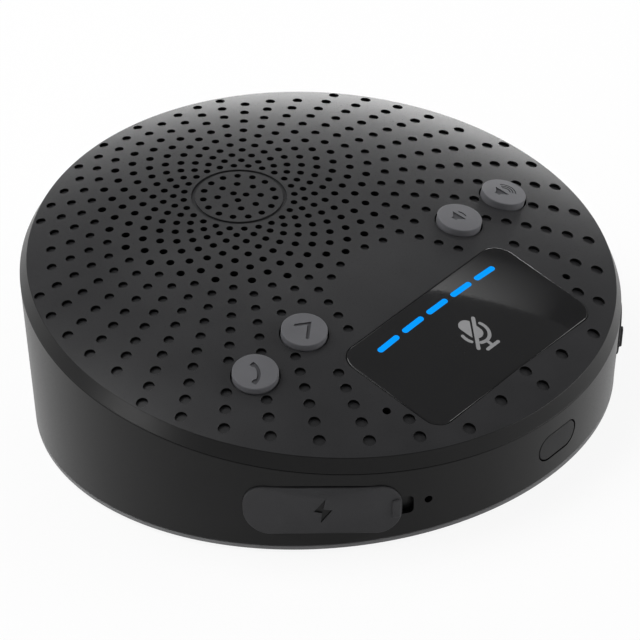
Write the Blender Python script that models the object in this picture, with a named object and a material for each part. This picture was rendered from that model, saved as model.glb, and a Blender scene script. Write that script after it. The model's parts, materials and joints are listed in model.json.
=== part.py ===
"""Conference speakerphone: a wedge-shaped disc with a domed, perforated top.

Metres, +Z up. The table is z = 0, the touch panel faces the front (-Y), and X = 0 is the mirror plane.
"""
import math

import bmesh
import bpy
from mathutils import Matrix, Vector
from mathutils.geometry import delaunay_2d_cdt

# Body: a base circle on the table side, a wider tilted shoulder circle and a domed plate inside it
PLATE_RADIUS = 0.0600
CHAMFER_WIDTH = 0.0013
WALL_TAPER = 0.0016
SHOULDER_RADIUS = PLATE_RADIUS + CHAMFER_WIDTH
SHOULDER_HEIGHT = 0.0268
SHOULDER_DROP = 0.0030
BASE_RADIUS = SHOULDER_RADIUS - WALL_TAPER
BASE_SET_BACK = 0.0016
FOOT_PROUD = 0.0010
PLATE_TILT = math.radians(10.0)
DOME_HEIGHT = 0.0071
DOME_FULLNESS = 0.22
COVER_THICKNESS = 0.0020
WALL_THICKNESS = 0.0022
LIP_DEPTH = 0.0022
LIP_THICKNESS = 0.0015
PARTING_LINE = 0.0002
FIT = 0.0003
RIM_SEGMENTS = 64

# Hole pattern: rings round the speaker, every second ring turned by half a step
SPEAKER_INSET = 0.0376
SPEAKER_OFFSET = PLATE_RADIUS - SPEAKER_INSET
FIRST_RING_RADIUS = 0.01134
RING_PITCH = 0.002075
INNER_RINGS = 25
OUTER_RING_PITCH = 0.0022
SPOKES = 24
HOLE_DIAMETER = 0.0012
HOLE_GROWTH = 0.018
HOLE_SIDES = 5
DIMPLE_DEPTH = 0.0009
HOLE_EDGE_MARGIN = 0.0003
CENTRE_RINGS = ((3, 0.0015), (8, 0.0044), (15, 0.0074))
GROOVE_RADIUS = 0.0094
GROOVE_WIDTH = 0.0006
GROOVE_DEPTH = 0.0004
GROOVE_SEGMENTS = 32
BARE_HALF_WIDTH = 0.0135
BARE_BACK_EDGE = 0.0092

# Touch panel, its light bars and the board under it
PANEL_WIDTH = 0.0511
PANEL_LENGTH = 0.0259
PANEL_INSET = 0.02265
PANEL_CENTRE = PLATE_RADIUS - PANEL_INSET
PANEL_CORNER = 0.0040
PANEL_THICKNESS = 0.0012
PANEL_PROUD = 0.0002
PANEL_MARGIN = 0.0015
WINDOW_SIDE_LEDGE = 0.00505
WINDOW_BACK_LEDGE = 0.0024
WINDOW_FRONT_LEDGE = 0.0068
WINDOW_WIDTH = PANEL_WIDTH - 2.0 * WINDOW_SIDE_LEDGE
WINDOW_BACK = PANEL_CENTRE - 0.5 * PANEL_LENGTH + WINDOW_BACK_LEDGE
WINDOW_FRONT = PANEL_CENTRE + 0.5 * PANEL_LENGTH - WINDOW_FRONT_LEDGE
WINDOW_CORNER = 0.0010
BAR_COUNT = 5
BAR_LENGTH_SHARE = 0.1213
BAR_PITCH_SHARE = 0.1522
BAR_LENGTH = BAR_LENGTH_SHARE * PANEL_WIDTH
BAR_PITCH = BAR_PITCH_SHARE * PANEL_WIDTH
BAR_WIDTH = 0.00125
BAR_INSET = 0.00475
BAR_LINE = PANEL_CENTRE - 0.5 * PANEL_LENGTH + BAR_INSET
BAR_FIT = 0.00015
GUIDE_THICKNESS = 0.0010
GUIDE_MARGIN = 0.0010
LED_HEIGHT = 0.0007
LED_SIZE = 0.0016
LED_BOARD_MARGIN = 0.0010
LED_BOARD_WIDTH = WINDOW_WIDTH - 2.0 * LED_BOARD_MARGIN
LED_BOARD_LENGTH = WINDOW_FRONT - WINDOW_BACK - 2.0 * LED_BOARD_MARGIN
LED_BOARD_THICKNESS = 0.0010
LED_BOARD_DEPTH = 0.0038

# Round buttons on the plate, their switches and boards
BUTTON_PANEL_GAP = 0.0092
BUTTON_LINE = PANEL_CENTRE - 0.5 * PANEL_LENGTH - BUTTON_PANEL_GAP
BUTTON_INSET = 0.0200
BUTTON_PITCH = 0.0150
BUTTON_OUTER = PLATE_RADIUS - BUTTON_INSET
BUTTON_INNER = BUTTON_OUTER - BUTTON_PITCH
BUTTON_DIAMETER = 0.0093
BUTTON_PROUD = 0.0013
BUTTON_EDGE = 0.0003
BUTTON_CROWN = 0.0001
BUTTON_FLAT_SHARE = 0.4
BUTTON_FLANGE = 0.0010
BUTTON_FLANGE_THICKNESS = 0.0008
BUTTON_STEM_DIAMETER = 0.0030
BUTTON_STEM_LENGTH = 0.0018
BUTTON_TRAVEL = 0.0005
BUTTON_SEGMENTS = 18
BUTTON_HOLE_MARGIN = 0.0013
SWITCH_SIZE = 0.0060
SWITCH_HEIGHT = 0.0025
SWITCH_PLUNGER = 0.0034
SWITCH_SHOULDER_SHARE = 0.75
KEY_BOARD_MARGIN = 0.0013
KEY_BOARD_THICKNESS = 0.0010
KEY_POST_DIAMETER = 0.0026
KEY_POST_SPREAD = 0.0042
SMALL_CORNER_SHARE = 0.1

# Microphones: two under the plate and two behind the wall
MIC_HOLE_DIAMETER = 0.0017
MIC_PANEL_GAP = 0.00375
MIC_ADVANCE = 0.00255
MIC_SPREAD = 0.5 * PANEL_WIDTH + MIC_PANEL_GAP
MIC_LINE = PANEL_CENTRE + MIC_ADVANCE
MIC_DIAMETER = 0.0040
MIC_HEIGHT = 0.0016
BOOT_WALL = 0.0007
BOOT_FLOOR = 0.0009
SIDE_MIC_LEVEL = 0.50
SIDE_MIC_GAP = 0.00321

# Port covers on the wall, measured from the front centre line and up the wall
PORT_ANGLE = math.radians(51.0)
PORT_LEVEL = 0.48
COVER_LENGTH = 0.0320
COVER_HEIGHT = 0.0116
COVER_CORNER = 0.0050
FLAP_THICKNESS = 0.0016
FLAP_PROUD = 0.0005
TAB_LENGTH = 0.0017
TAB_HEIGHT = 0.0045
TAB_PROUD = 0.0009
TAB_INSET = 0.0004
TAB_CORNER = 0.000425
NOTCH_LENGTH = 0.0024
NOTCH_HEIGHT = 0.0043
NOTCH_CLEARANCE = 0.0002
PLUG_REACH = 0.0009
BOLT_DEPTH = 0.0003
BOLT_HALF_HEIGHT = 0.0030

# Side pinholes sit in front of the nail notches
SIDE_MIC_ANGLE = PORT_ANGLE - (0.5 * COVER_LENGTH + NOTCH_LENGTH + SIDE_MIC_GAP) / SHOULDER_RADIUS

# Sockets behind the covers
USB_WIDTH = 0.0090
USB_HEIGHT = 0.0033
USB_LENGTH = 0.0073
USB_SHELL = 0.0003
USB_CORNER_SHARE = 0.3
USB_TONGUE_WIDTH = 0.0066
USB_TONGUE_HEIGHT = 0.0007
USB_TONGUE_LENGTH = 0.0050
JACK_WIDTH = 0.0060
JACK_HEIGHT = 0.0045
JACK_LENGTH = 0.0120
JACK_BORE = 0.0036
JACK_BORE_DEPTH = 0.0110

# Front power button
POWER_LEVEL = 0.515
POWER_WIDTH = 0.0116
POWER_HEIGHT = 0.0058
POWER_FLANGE = 0.0009
POWER_FLANGE_THICKNESS = 0.0008
POWER_STEM_DIAMETER = 0.0024
POWER_STEM_LENGTH = 0.0020
POWER_TRAVEL = 0.0005
POWER_SWITCH_WIDTH = 0.0060
POWER_SWITCH_HEIGHT = 0.0036
POWER_SWITCH_LENGTH = 0.0034

# Base, foot and screws
BASE_THICKNESS = 0.0024
TRIM_HEIGHT = 0.0006
FOOT_INSET = 0.0157
FOOT_RADIUS = BASE_RADIUS - FOOT_INSET
FOOT_WIDTH = 0.0060
FOOT_GROOVE = 0.0008
POST_DIAMETER = 0.0052
BACK_POST_ANGLE = math.radians(45.4)
BACK_POST_INSET = 0.0073
FRONT_POST_ANGLE = math.radians(-70.3)
FRONT_POST_INSET = 0.0095
PILOT_DIAMETER = 0.0032
PILOT_DEPTH = 0.0090
SCREW_HEAD_DIAMETER = 0.0050
SCREW_HEAD_HEIGHT = 0.0010
SCREW_SHANK_DIAMETER = 0.0026
SCREW_LENGTH = 0.0090
SCREW_SOCKET_DIAMETER = 0.0020
SCREW_SOCKET_DEPTH = 0.0006
SCREW_HEAD_EDGE = 0.0003
COUNTERBORE_DEPTH = 0.0014

# Main board and what stands on it
BOARD_THICKNESS = 0.0016
BOARD_INSET = 0.0047
BOARD_FRONT_INSET = 0.0165
BOARD_RADIUS = BASE_RADIUS - BOARD_INSET
BOARD_FRONT = BASE_RADIUS - BOARD_FRONT_INSET
BOARD_BACK = 0.0090
BOARD_TAB_HALF = 0.0065
STANDOFF_DIAMETER = 0.0040
SIDE_STANDOFF_ANGLE = math.radians(-22.8)
SIDE_STANDOFF_INSET = 0.0185
FRONT_STANDOFF_ANGLE = math.radians(-59.9)
FRONT_STANDOFF_INSET = 0.0158
CHIP_PLACE = (0.0140, -0.0240)
CHIP_SIZE = 0.0090
CHIP_HEIGHT = 0.0012
RADIO_PLACE = (-0.0150, -0.0230)
RADIO_WIDTH = 0.0120
RADIO_LENGTH = 0.0150
RADIO_HEIGHT = 0.0022
BATTERY_WIDTH = 0.0500
BATTERY_LENGTH = 0.0340
BATTERY_HEIGHT = 0.0060
BATTERY_CORNER = 0.0020
BATTERY_EDGE = 0.0012
BATTERY_PLACE = 0.0140
TRAY_WALL = 0.0012
TRAY_HEIGHT = 0.0042

# Speaker: sizes along its axis are depths below the outer face of the plate
SPEAKER_SEAT = 0.0046
SPEAKER_FLANGE_THICKNESS = 0.0010
SPEAKER_MOUTH_RADIUS = 0.0212
SPEAKER_FLANGE_WIDTH = 0.0043
SPEAKER_RADIUS = SPEAKER_MOUTH_RADIUS + SPEAKER_FLANGE_WIDTH
GRILLE_MARGIN = 0.0005
GRILLE_RADIUS = SPEAKER_MOUTH_RADIUS - GRILLE_MARGIN
BASKET_DEPTH = 0.0106
BASKET_RADIUS = 0.0142
BASKET_WALL = 0.0010
BASKET_HOLE_RADIUS = 0.0082
TOP_PLATE_RADIUS = 0.0130
TOP_PLATE_THICKNESS = 0.0025
MAGNET_RADIUS = 0.0138
MAGNET_THICKNESS = 0.0050
MAGNET_HOLE_MARGIN = 0.0014
YOKE_RADIUS = 0.0128
YOKE_THICKNESS = 0.0024
POLE_RADIUS = 0.0056
COIL_THICKNESS = 0.0004
COIL_LENGTH = 0.0084
SURROUND_WIDTH = 0.0034
CONE_RADIUS = SPEAKER_MOUTH_RADIUS - SURROUND_WIDTH
CONE_DEPTH = 0.0040
CONE_THICKNESS = 0.0005
DUST_CAP_RADIUS = 0.0066
DUST_CAP_HEIGHT = 0.0014
SURROUND_ROLL = 0.0012
SPIDER_DROP = 0.0028
SPIDER_THICKNESS = 0.0004
GASKET_WIDTH = 0.0030
CLOTH_THICKNESS = 0.0004
SPEAKER_SEGMENTS = 20

# Ribbon leads between the boards
RIBBON_THICKNESS = 0.0003
RIBBON_WIDTH = 0.0060
RIBBON_RUN = 0.0060
LEAD_DIAMETER = 0.0016
LEAD_PLACE = 0.0180
LEAD_RUN = 0.0040

# Meshing
SIDES = (-1, 1)
MILLIMETRE = 0.001
PLATE_SPACING = 0.0090
PANEL_SPACING = 0.0060
WALL_SPACING = 0.0080
FOOT_SEGMENTS = 40
BOARD_SEGMENTS = 6
SURROUND_STEPS = 3
BEND_STEPS = 6
MIC_SEGMENTS = 10
SCREW_SEGMENTS = 10
SMALL_SEGMENTS = 8
JACK_SEGMENTS = 16
MERGE = 1e-6
SMOOTH_ANGLE = math.radians(35.0)
FRONT = math.radians(270.0)
BACK = math.radians(90.0)

# Finishes: colour, roughness, metallic
FINISHES = {
    "plate": ((0.036, 0.036, 0.038), 0.45, 0.0),
    "wall": ((0.028, 0.028, 0.029), 0.40, 0.0),
    "trim": ((0.240, 0.240, 0.245), 0.50, 0.0),
    "rubber": ((0.030, 0.030, 0.031), 0.80, 0.0),
    "flap": ((0.040, 0.040, 0.043), 0.70, 0.0),
    "button": ((0.110, 0.110, 0.118), 0.55, 0.0),
    "panel": ((0.012, 0.012, 0.013), 0.08, 0.0),
    "light": ((0.000, 0.300, 1.000), 0.30, 0.0),
    "board": ((0.010, 0.090, 0.035), 0.50, 0.0),
    "chip": ((0.015, 0.015, 0.016), 0.45, 0.0),
    "steel": ((0.550, 0.550, 0.560), 0.30, 1.0),
    "magnet": ((0.060, 0.060, 0.065), 0.55, 0.0),
    "copper": ((0.700, 0.330, 0.160), 0.35, 1.0),
    "paper": ((0.050, 0.048, 0.045), 0.85, 0.0),
    "cloth": ((0.012, 0.012, 0.012), 0.95, 0.0),
    "foam": ((0.080, 0.080, 0.080), 0.95, 0.0),
    "battery": ((0.330, 0.340, 0.360), 0.45, 0.0),
    "ribbon": ((0.550, 0.250, 0.050), 0.50, 0.0),
}


# Plane outlines


def circle(radius, count, centre=(0.0, 0.0), turn=0.0):
    """Points round a circle, counter-clockwise."""
    angles = [turn + 2.0 * math.pi * i / count for i in range(count)]
    return [(centre[0] + radius * math.cos(a), centre[1] + radius * math.sin(a)) for a in angles]


def rounded_rectangle(width, height, corner, centre=(0.0, 0.0), steps=4):
    """Rectangle with round corners, counter-clockwise from the middle of its lower right corner."""
    corner = min(corner, 0.4999 * width, 0.4999 * height)
    points = []
    for quarter, (sx, sy) in enumerate(((1, -1), (1, 1), (-1, 1), (-1, -1))):
        cx = centre[0] + sx * (0.5 * width - corner)
        cy = centre[1] + sy * (0.5 * height - corner)
        for i in range(steps + 1):
            a = math.radians(90.0) * (quarter - 1 + i / steps)
            points.append((cx + corner * math.cos(a), cy + corner * math.sin(a)))
    return points


def first_turn(count):
    """Turn that lines up a circle's first point with the first point of a rounded rectangle."""
    return math.pi / count - 0.5 * math.pi


def counter_clockwise(loop):
    """The loop in counter-clockwise order."""
    pairs = zip(loop, loop[1:] + loop[:1])
    area = sum(a[0] * b[1] - b[0] * a[1] for a, b in pairs)
    return loop if area > 0.0 else loop[::-1]


def inside(point, loop):
    """True where the point lies inside the loop."""
    x, y = point
    odd = False
    for (ax, ay), (bx, by) in zip(loop, loop[1:] + loop[:1]):
        if (ay > y) != (by > y) and x < ax + (y - ay) * (bx - ax) / (by - ay):
            odd = not odd
    return odd


# Surfaces that the pieces lie on


def frame(origin, z_axis, x_hint):
    """World matrix with its Z along z_axis and its X nearest to x_hint."""
    z = Vector(z_axis).normalized()
    x = (Vector(x_hint) - z * Vector(x_hint).dot(z)).normalized()
    y = z.cross(x)
    matrix = Matrix((x, y, z)).transposed().to_4x4()
    matrix.translation = origin
    return matrix


def plate_frame():
    """Frame of the plate: Z is its normal, Y runs uphill to the back, origin at the edge circle's centre."""
    normal = Vector((0.0, -math.sin(PLATE_TILT), math.cos(PLATE_TILT)))
    origin = Vector((0.0, 0.0, SHOULDER_HEIGHT)) + normal * SHOULDER_DROP
    return frame(origin, normal, (1.0, 0.0, 0.0))


def dome_height(x, y):
    """Height of the domed plate over its edge plane."""
    q = (x * x + y * y) / PLATE_RADIUS ** 2
    return DOME_HEIGHT * (1.0 - q) * (1.0 + DOME_FULLNESS * q)


def dome_normal(x, y):
    """Normal of the domed plate, in the plate's frame."""
    q = (x * x + y * y) / PLATE_RADIUS ** 2
    fall = 2.0 * DOME_HEIGHT * (1.0 - DOME_FULLNESS + 2.0 * DOME_FULLNESS * q) / PLATE_RADIUS ** 2
    return Vector((fall * x, fall * y, 1.0)).normalized()


def dome_point(x, y, depth):
    """World point at a depth under the outer face of the dome."""
    local = Vector((x, y, dome_height(x, y))) - dome_normal(x, y) * depth
    return plate_frame() @ local


def dome_seat(x, y):
    """Frame on the outer face of the dome, Z along its normal."""
    normal = plate_frame().to_3x3() @ dome_normal(x, y)
    return frame(dome_point(x, y, 0.0), normal, (1.0, 0.0, 0.0))


def base_point(angle):
    """Point of the base circle."""
    return Vector((BASE_RADIUS * math.cos(angle), BASE_SET_BACK + BASE_RADIUS * math.sin(angle), FOOT_PROUD))


def shoulder_point(angle):
    """Point of the tilted shoulder circle, under the chamfer."""
    local = Vector((SHOULDER_RADIUS * math.cos(angle), SHOULDER_RADIUS * math.sin(angle), -SHOULDER_DROP))
    return plate_frame() @ local


def wall_length(angle):
    """Length of the wall from the base circle to the shoulder circle."""
    return (shoulder_point(angle) - base_point(angle)).length


def wall_point(angle, level, depth):
    """World point on the wall: level 0 at the base, 1 at the shoulder, depth inward from its outer face."""
    inward = Vector((-math.cos(angle), -math.sin(angle), 0.0))
    return base_point(angle).lerp(shoulder_point(angle), level) + inward * depth


def wall_seat(angle, level, depth):
    """Level frame inside the wall: Z points out through it, Y is up."""
    outward = (math.cos(angle), math.sin(angle), 0.0)
    tangent = (-math.sin(angle), math.cos(angle), 0.0)
    return frame(wall_point(angle, level, depth), outward, tangent)


# The wall is laid out flat for meshing: u is the way round it from the back, v the way up it
UNROLL = SHOULDER_RADIUS
RISE = SHOULDER_HEIGHT


def unroll(angle, level):
    """Flat layout coordinates of a wall point."""
    return (UNROLL * (angle - BACK), RISE * level)


def wall_place(u, v, depth):
    """World point of a flat layout point."""
    return wall_point(BACK + u / UNROLL, v / RISE, depth)


def on_wall(loop, angle, level, side=-1):
    """Flat layout of an outline in metres round (angle, level); its +X runs to the front on either side."""
    points = []
    for along, up in loop:
        a = angle - side * along / SHOULDER_RADIUS
        points.append(unroll(a, level + up / wall_length(a)))
    return counter_clockwise(points)


# Mesh builders


def skin(bm, place, depth, outline, holes, spacing):
    """Triangles of one face of a sheet, with its holes left open."""
    points = list(outline)
    polygons = [list(range(len(points)))]
    for hole in holes:
        start = len(points)
        points.extend(hole)
        polygons.append(list(range(start, len(points))))
    if spacing:
        points.extend(filler(outline, holes, spacing))
    flat = [Vector((u / MILLIMETRE, v / MILLIMETRE)) for u, v in points]
    found, _, faces, _, _, owners = delaunay_2d_cdt(flat, [], polygons, 1, 1e-6)
    verts = [bm.verts.new(place(p.x * MILLIMETRE, p.y * MILLIMETRE, depth)) for p in found]
    for face, owner in zip(faces, owners):
        if list(owner) == [0]:
            bm.faces.new([verts[i] for i in face])


def filler(outline, holes, spacing):
    """Grid points inside the outline and clear of every loop, so that a curved face keeps its shape."""
    corners = [p for loop in [outline] + list(holes) for p in loop]
    low_u = min(p[0] for p in outline)
    low_v = min(p[1] for p in outline)
    columns = int((max(p[0] for p in outline) - low_u) / spacing)
    rows = int((max(p[1] for p in outline) - low_v) / spacing)
    clear = (0.45 * spacing) ** 2
    points = []
    for i in range(columns):
        for j in range(rows):
            u = low_u + (i + 0.5) * spacing
            v = low_v + (j + 0.5) * spacing
            if min((u - a) ** 2 + (v - b) ** 2 for a, b in corners) < clear:
                continue
            if inside((u, v), outline) and not any(inside((u, v), hole) for hole in holes):
                points.append((u, v))
    return points


def strip(bm, lower, upper, closed=True):
    """Quads between two rows of points."""
    a = [bm.verts.new(p) for p in lower]
    b = [bm.verts.new(p) for p in upper]
    for i in range(len(a) if closed else len(a) - 1):
        j = (i + 1) % len(a)
        bm.faces.new((a[i], a[j], b[j], b[i]))


def cap(bm, row):
    """One face over a row of points."""
    bm.faces.new([bm.verts.new(p) for p in row])


def cut(loop, depth=None, window=None, island=None, inside=(), point=False):
    """A cut from the outer face: through, a pocket (with a window, or an island with holes), or a dimple."""
    return {"loop": loop, "depth": depth, "point": point, "window": window, "island": island,
            "inside": inside}


def openings(cuts):
    """Loops that the cuts leave open in the inner face."""
    loops = []
    for item in cuts:
        if item["window"]:
            loops.append(item["window"])
        elif item["depth"] is None:
            loops.append(item["loop"])
        loops.extend(item["inside"])
    return loops


def add_cut(bm, place, thickness, item, spacing):
    """Walls and floor of one cut."""
    loop = item["loop"]
    depth = thickness if item["depth"] is None else item["depth"]
    top = [place(u, v, 0.0) for u, v in loop]
    if item["point"]:
        middle = [sum(c) / len(loop) for c in zip(*loop)]
        tip = place(middle[0], middle[1], depth)
        for a, b in zip(top, top[1:] + top[:1]):
            cap(bm, (a, b, tip))
        return
    floor = [place(u, v, depth) for u, v in loop]
    strip(bm, top, floor)
    if item["depth"] is None:
        return
    inner = item["window"] or item["island"]
    skin(bm, place, depth, loop, [inner] if inner else [], spacing)
    if item["window"]:
        strip(bm, [place(u, v, depth) for u, v in inner], [place(u, v, thickness) for u, v in inner])
    if item["island"]:
        strip(bm, [place(u, v, depth) for u, v in inner], [place(u, v, 0.0) for u, v in inner])
        skin(bm, place, 0.0, inner, item["inside"], spacing)
        for hole in item["inside"]:
            strip(bm, [place(u, v, 0.0) for u, v in hole], [place(u, v, thickness) for u, v in hole])


def post(loop, ends, bore=None, bore_ends=None):
    """A post on the inner face: its outline, the points of its free end, and a blind bore in that end."""
    return {"loop": loop, "ends": ends, "bore": bore, "bore_ends": bore_ends}


def add_post(bm, place, thickness, item):
    """Sides and end of one post."""
    ends = item["ends"]
    strip(bm, [place(u, v, thickness) for u, v in item["loop"]], ends)
    if item["bore"] is None:
        cap(bm, ends)
        return
    strip(bm, ends, item["bore"])
    strip(bm, item["bore"], item["bore_ends"])
    cap(bm, item["bore_ends"])


def slab(outline, place, thickness, cuts=(), posts=(), spacing=None, inner=None, rim=(), wrapped=False):
    """A closed sheet between two faces, with cuts in its outer face and posts on its inner face."""
    bm = bmesh.new()
    inner = inner or outline
    kept = [c["loop"] for c in cuts]
    skin(bm, place, 0.0, outline, kept, spacing)
    skin(bm, place, thickness, inner, openings(cuts) + [p["loop"] for p in posts], spacing)
    rows = [[place(u, v, 0.0) for u, v in outline]] + list(rim) + [[place(u, v, thickness) for u, v in inner]]
    for lower, upper in zip(rows, rows[1:]):
        if wrapped:
            half = len(lower) // 2
            strip(bm, lower[:half], upper[:half], closed=False)
            strip(bm, lower[half:], upper[half:], closed=False)
        else:
            strip(bm, lower, upper)
    for item in cuts:
        add_cut(bm, place, thickness, item, spacing)
    for item in posts:
        add_post(bm, place, thickness, item)
    return bm


def loft(rows, ring=False):
    """A closed body through rows of points, capped at both ends or closed on itself."""
    bm = bmesh.new()
    for lower, upper in zip(rows, rows[1:] + (rows[:1] if ring else [])):
        strip(bm, lower, upper)
    if not ring:
        cap(bm, rows[0])
        cap(bm, rows[-1])
    return bm


def turned(profile, segments, ring=False):
    """A body turned round Z from (radius, height) points."""
    rows = []
    for radius, height in profile:
        rows.append([Vector((x, y, height)) for x, y in circle(radius, segments)])
    return loft(rows, ring)


def raised(loops):
    """A body through (flat loop, height) pairs."""
    return loft([[Vector((x, y, height)) for x, y in loop] for loop, height in loops])


def block(width, length, low, high, corner=0.0004, centre=(0.0, 0.0)):
    """A box with round upright edges."""
    loop = rounded_rectangle(width, length, corner, centre, steps=2)
    return raised([(loop, low), (loop, high)])


def flat_place(x, y, depth):
    """Place for flat boards: depth runs down."""
    return Vector((x, y, -depth))


# Objects


def finish_material(name, finish):
    """A Principled material of its own for one piece."""
    colour, roughness, metallic = FINISHES[finish]
    material = bpy.data.materials.new(name)
    material.use_nodes = True
    shader = material.node_tree.nodes["Principled BSDF"]
    shader.inputs["Base Color"].default_value = (*colour, 1.0)
    shader.inputs["Roughness"].default_value = roughness
    shader.inputs["Metallic"].default_value = metallic
    material.diffuse_color = (*colour, 1.0)
    return material


def add_piece(name, bm, finish, seat=None, in_world=False):
    """Make the object. seat is its frame; in_world says that the mesh is given in world coordinates."""
    seat = seat or Matrix()
    bmesh.ops.remove_doubles(bm, verts=bm.verts, dist=MERGE)
    if in_world:
        bmesh.ops.transform(bm, matrix=seat.inverted(), verts=bm.verts)
    bmesh.ops.recalc_face_normals(bm, faces=bm.faces)
    mesh = bpy.data.meshes.new(name)
    bm.to_mesh(mesh)
    bm.free()
    mesh.shade_smooth()
    mesh.set_sharp_from_angle(angle=SMOOTH_ANGLE)
    mesh.materials.append(finish_material(name, finish))
    piece = bpy.data.objects.new(name, mesh)
    bpy.context.collection.objects.link(piece)
    piece.parent = bpy.data.objects["speakerphone"]
    piece.matrix_basis = seat
    return piece


# Top cover


def button_places():
    """Plate positions of the round buttons, from left to right."""
    return [(x, -BUTTON_LINE) for x in (-BUTTON_OUTER, -BUTTON_INNER, BUTTON_INNER, BUTTON_OUTER)]


def hole_is_free(x, y, radius):
    """True where a hole of the pattern clears the edge, the panel, the bare field and the buttons."""
    if math.hypot(x, y) + radius > PLATE_RADIUS - HOLE_EDGE_MARGIN:
        return False
    half_width = 0.5 * PANEL_WIDTH + PANEL_MARGIN
    half_length = 0.5 * PANEL_LENGTH + PANEL_MARGIN
    if abs(x) < half_width and abs(y + PANEL_CENTRE) < half_length:
        return False
    if abs(x) < BARE_HALF_WIDTH and -PANEL_CENTRE < y < -BARE_BACK_EDGE:
        return False
    reach = 0.5 * BUTTON_DIAMETER + BUTTON_HOLE_MARGIN
    if any(math.hypot(x - bx, y - by) < reach for bx, by in button_places()):
        return False
    reach = 0.5 * MIC_HOLE_DIAMETER + radius + HOLE_EDGE_MARGIN
    return all(math.hypot(x - sx * MIC_SPREAD, y + MIC_LINE) > reach for sx in SIDES)


def hole_radius(distance):
    """Radius of a hole at a distance from the middle of the pattern: holes grow outwards."""
    return 0.5 * (HOLE_DIAMETER + HOLE_GROWTH * distance)


def centre_cuts():
    """Loops of the through holes inside the groove."""
    loops = []
    for count, distance in CENTRE_RINGS:
        for place in circle(distance, count, (0.0, SPEAKER_OFFSET), BACK):
            loops.append(circle(hole_radius(FIRST_RING_RADIUS), HOLE_SIDES, place))
    return loops


def ring_distance(ring):
    """Distance of a ring from the middle of the pattern: the outer rings stand a little wider."""
    outer = max(ring - INNER_RINGS, 0)
    return FIRST_RING_RADIUS + (ring - outer) * RING_PITCH + outer * OUTER_RING_PITCH


def ring_cuts():
    """Cuts of the rings: through holes over the speaker, pointed dimples elsewhere."""
    cuts = []
    reach = PLATE_RADIUS + SPEAKER_OFFSET - FIRST_RING_RADIUS
    for ring in range(int(reach / RING_PITCH) + 1):
        distance = ring_distance(ring)
        turn = BACK + (ring % 2) * math.pi / SPOKES
        radius = hole_radius(distance)
        for x, y in circle(distance, SPOKES, (0.0, SPEAKER_OFFSET), turn):
            if not hole_is_free(x, y, radius):
                continue
            loop = circle(radius, HOLE_SIDES, (x, y), math.atan2(y - SPEAKER_OFFSET, x))
            over_speaker = distance < GRILLE_RADIUS
            cuts.append(cut(loop) if over_speaker else cut(loop, DIMPLE_DEPTH, point=True))
    return cuts


def window_loop():
    """Opening in the floor of the panel's pocket."""
    centre = (0.0, -0.5 * (WINDOW_BACK + WINDOW_FRONT))
    return rounded_rectangle(WINDOW_WIDTH, WINDOW_FRONT - WINDOW_BACK, WINDOW_CORNER, centre, steps=2)


def panel_loop(grow):
    """Outline of the touch panel, grown all round."""
    return rounded_rectangle(PANEL_WIDTH + 2.0 * grow, PANEL_LENGTH + 2.0 * grow, PANEL_CORNER + grow,
                             (0.0, -PANEL_CENTRE), steps=5)


def mirrored(radius, angle):
    """The left and right places at a radius and an angle from the X axis."""
    return [(side * radius * math.cos(angle), radius * math.sin(angle)) for side in SIDES]


def post_places():
    """Plate positions of the four screw posts."""
    return (mirrored(PLATE_RADIUS - BACK_POST_INSET, BACK_POST_ANGLE)
            + mirrored(PLATE_RADIUS - FRONT_POST_INSET, FRONT_POST_ANGLE))


def post_axis(x, y):
    """World x and y of a screw post."""
    point = dome_point(x, y, COVER_THICKNESS)
    return point.x, point.y


def base_top():
    """Height of the inner face of the base cover."""
    return FOOT_PROUD + BASE_THICKNESS


def screw_posts():
    """Upright posts under the plate that take the base screws."""
    posts = []
    low = base_top() + FIT
    for x, y in post_places():
        loop = circle(0.5 * POST_DIAMETER, SCREW_SEGMENTS, (x, y))
        ends = []
        for u, v in loop:
            point = dome_point(u, v, COVER_THICKNESS)
            ends.append(Vector((point.x, point.y, low)))
        pilot = circle(0.5 * PILOT_DIAMETER, SCREW_SEGMENTS, post_axis(x, y))
        bore = [Vector((u, v, low)) for u, v in pilot]
        bore_ends = [p + Vector((0.0, 0.0, PILOT_DEPTH)) for p in bore]
        posts.append(post(loop, ends, bore, bore_ends))
    return posts


def key_board_depth():
    """Depth of a key board's upper face under the outer face of the plate."""
    flange = COVER_THICKNESS + FIT + BUTTON_FLANGE_THICKNESS
    return flange + BUTTON_STEM_LENGTH + BUTTON_TRAVEL + FIT + SWITCH_HEIGHT + FIT


def key_board_seat(side):
    """Frame of a key board, midway between its two buttons."""
    return dome_seat(side * 0.5 * (BUTTON_INNER + BUTTON_OUTER), -BUTTON_LINE)


def key_posts():
    """Short posts under the plate that carry the two key boards."""
    posts = []
    middle = 0.5 * (BUTTON_INNER + BUTTON_OUTER)
    for side in SIDES:
        seat = key_board_seat(side)
        for up in SIDES:
            centre = (side * middle, up * KEY_POST_SPREAD - BUTTON_LINE)
            loop = circle(0.5 * KEY_POST_DIAMETER, SMALL_SEGMENTS, centre)
            ends = []
            for u, v in loop:
                local = seat.inverted() @ dome_point(u, v, COVER_THICKNESS)
                local.z = FIT - key_board_depth()
                ends.append(seat @ local)
            posts.append(post(loop, ends))
    return posts


def cover_rim():
    """Rows round the edge of the plate: chamfer, parting face and locating lip."""
    outer = SHOULDER_RADIUS - WALL_THICKNESS - FIT
    lean = LIP_DEPTH * math.tan(PLATE_TILT)
    low = -SHOULDER_DROP - LIP_DEPTH
    rows = ((SHOULDER_RADIUS, -SHOULDER_DROP), (outer, -SHOULDER_DROP),
            (outer - lean, low), (outer - lean - LIP_THICKNESS, low))
    matrix = plate_frame()
    return [[matrix @ Vector((x, y, z)) for x, y in circle(r, RIM_SEGMENTS)] for r, z in rows]


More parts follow.
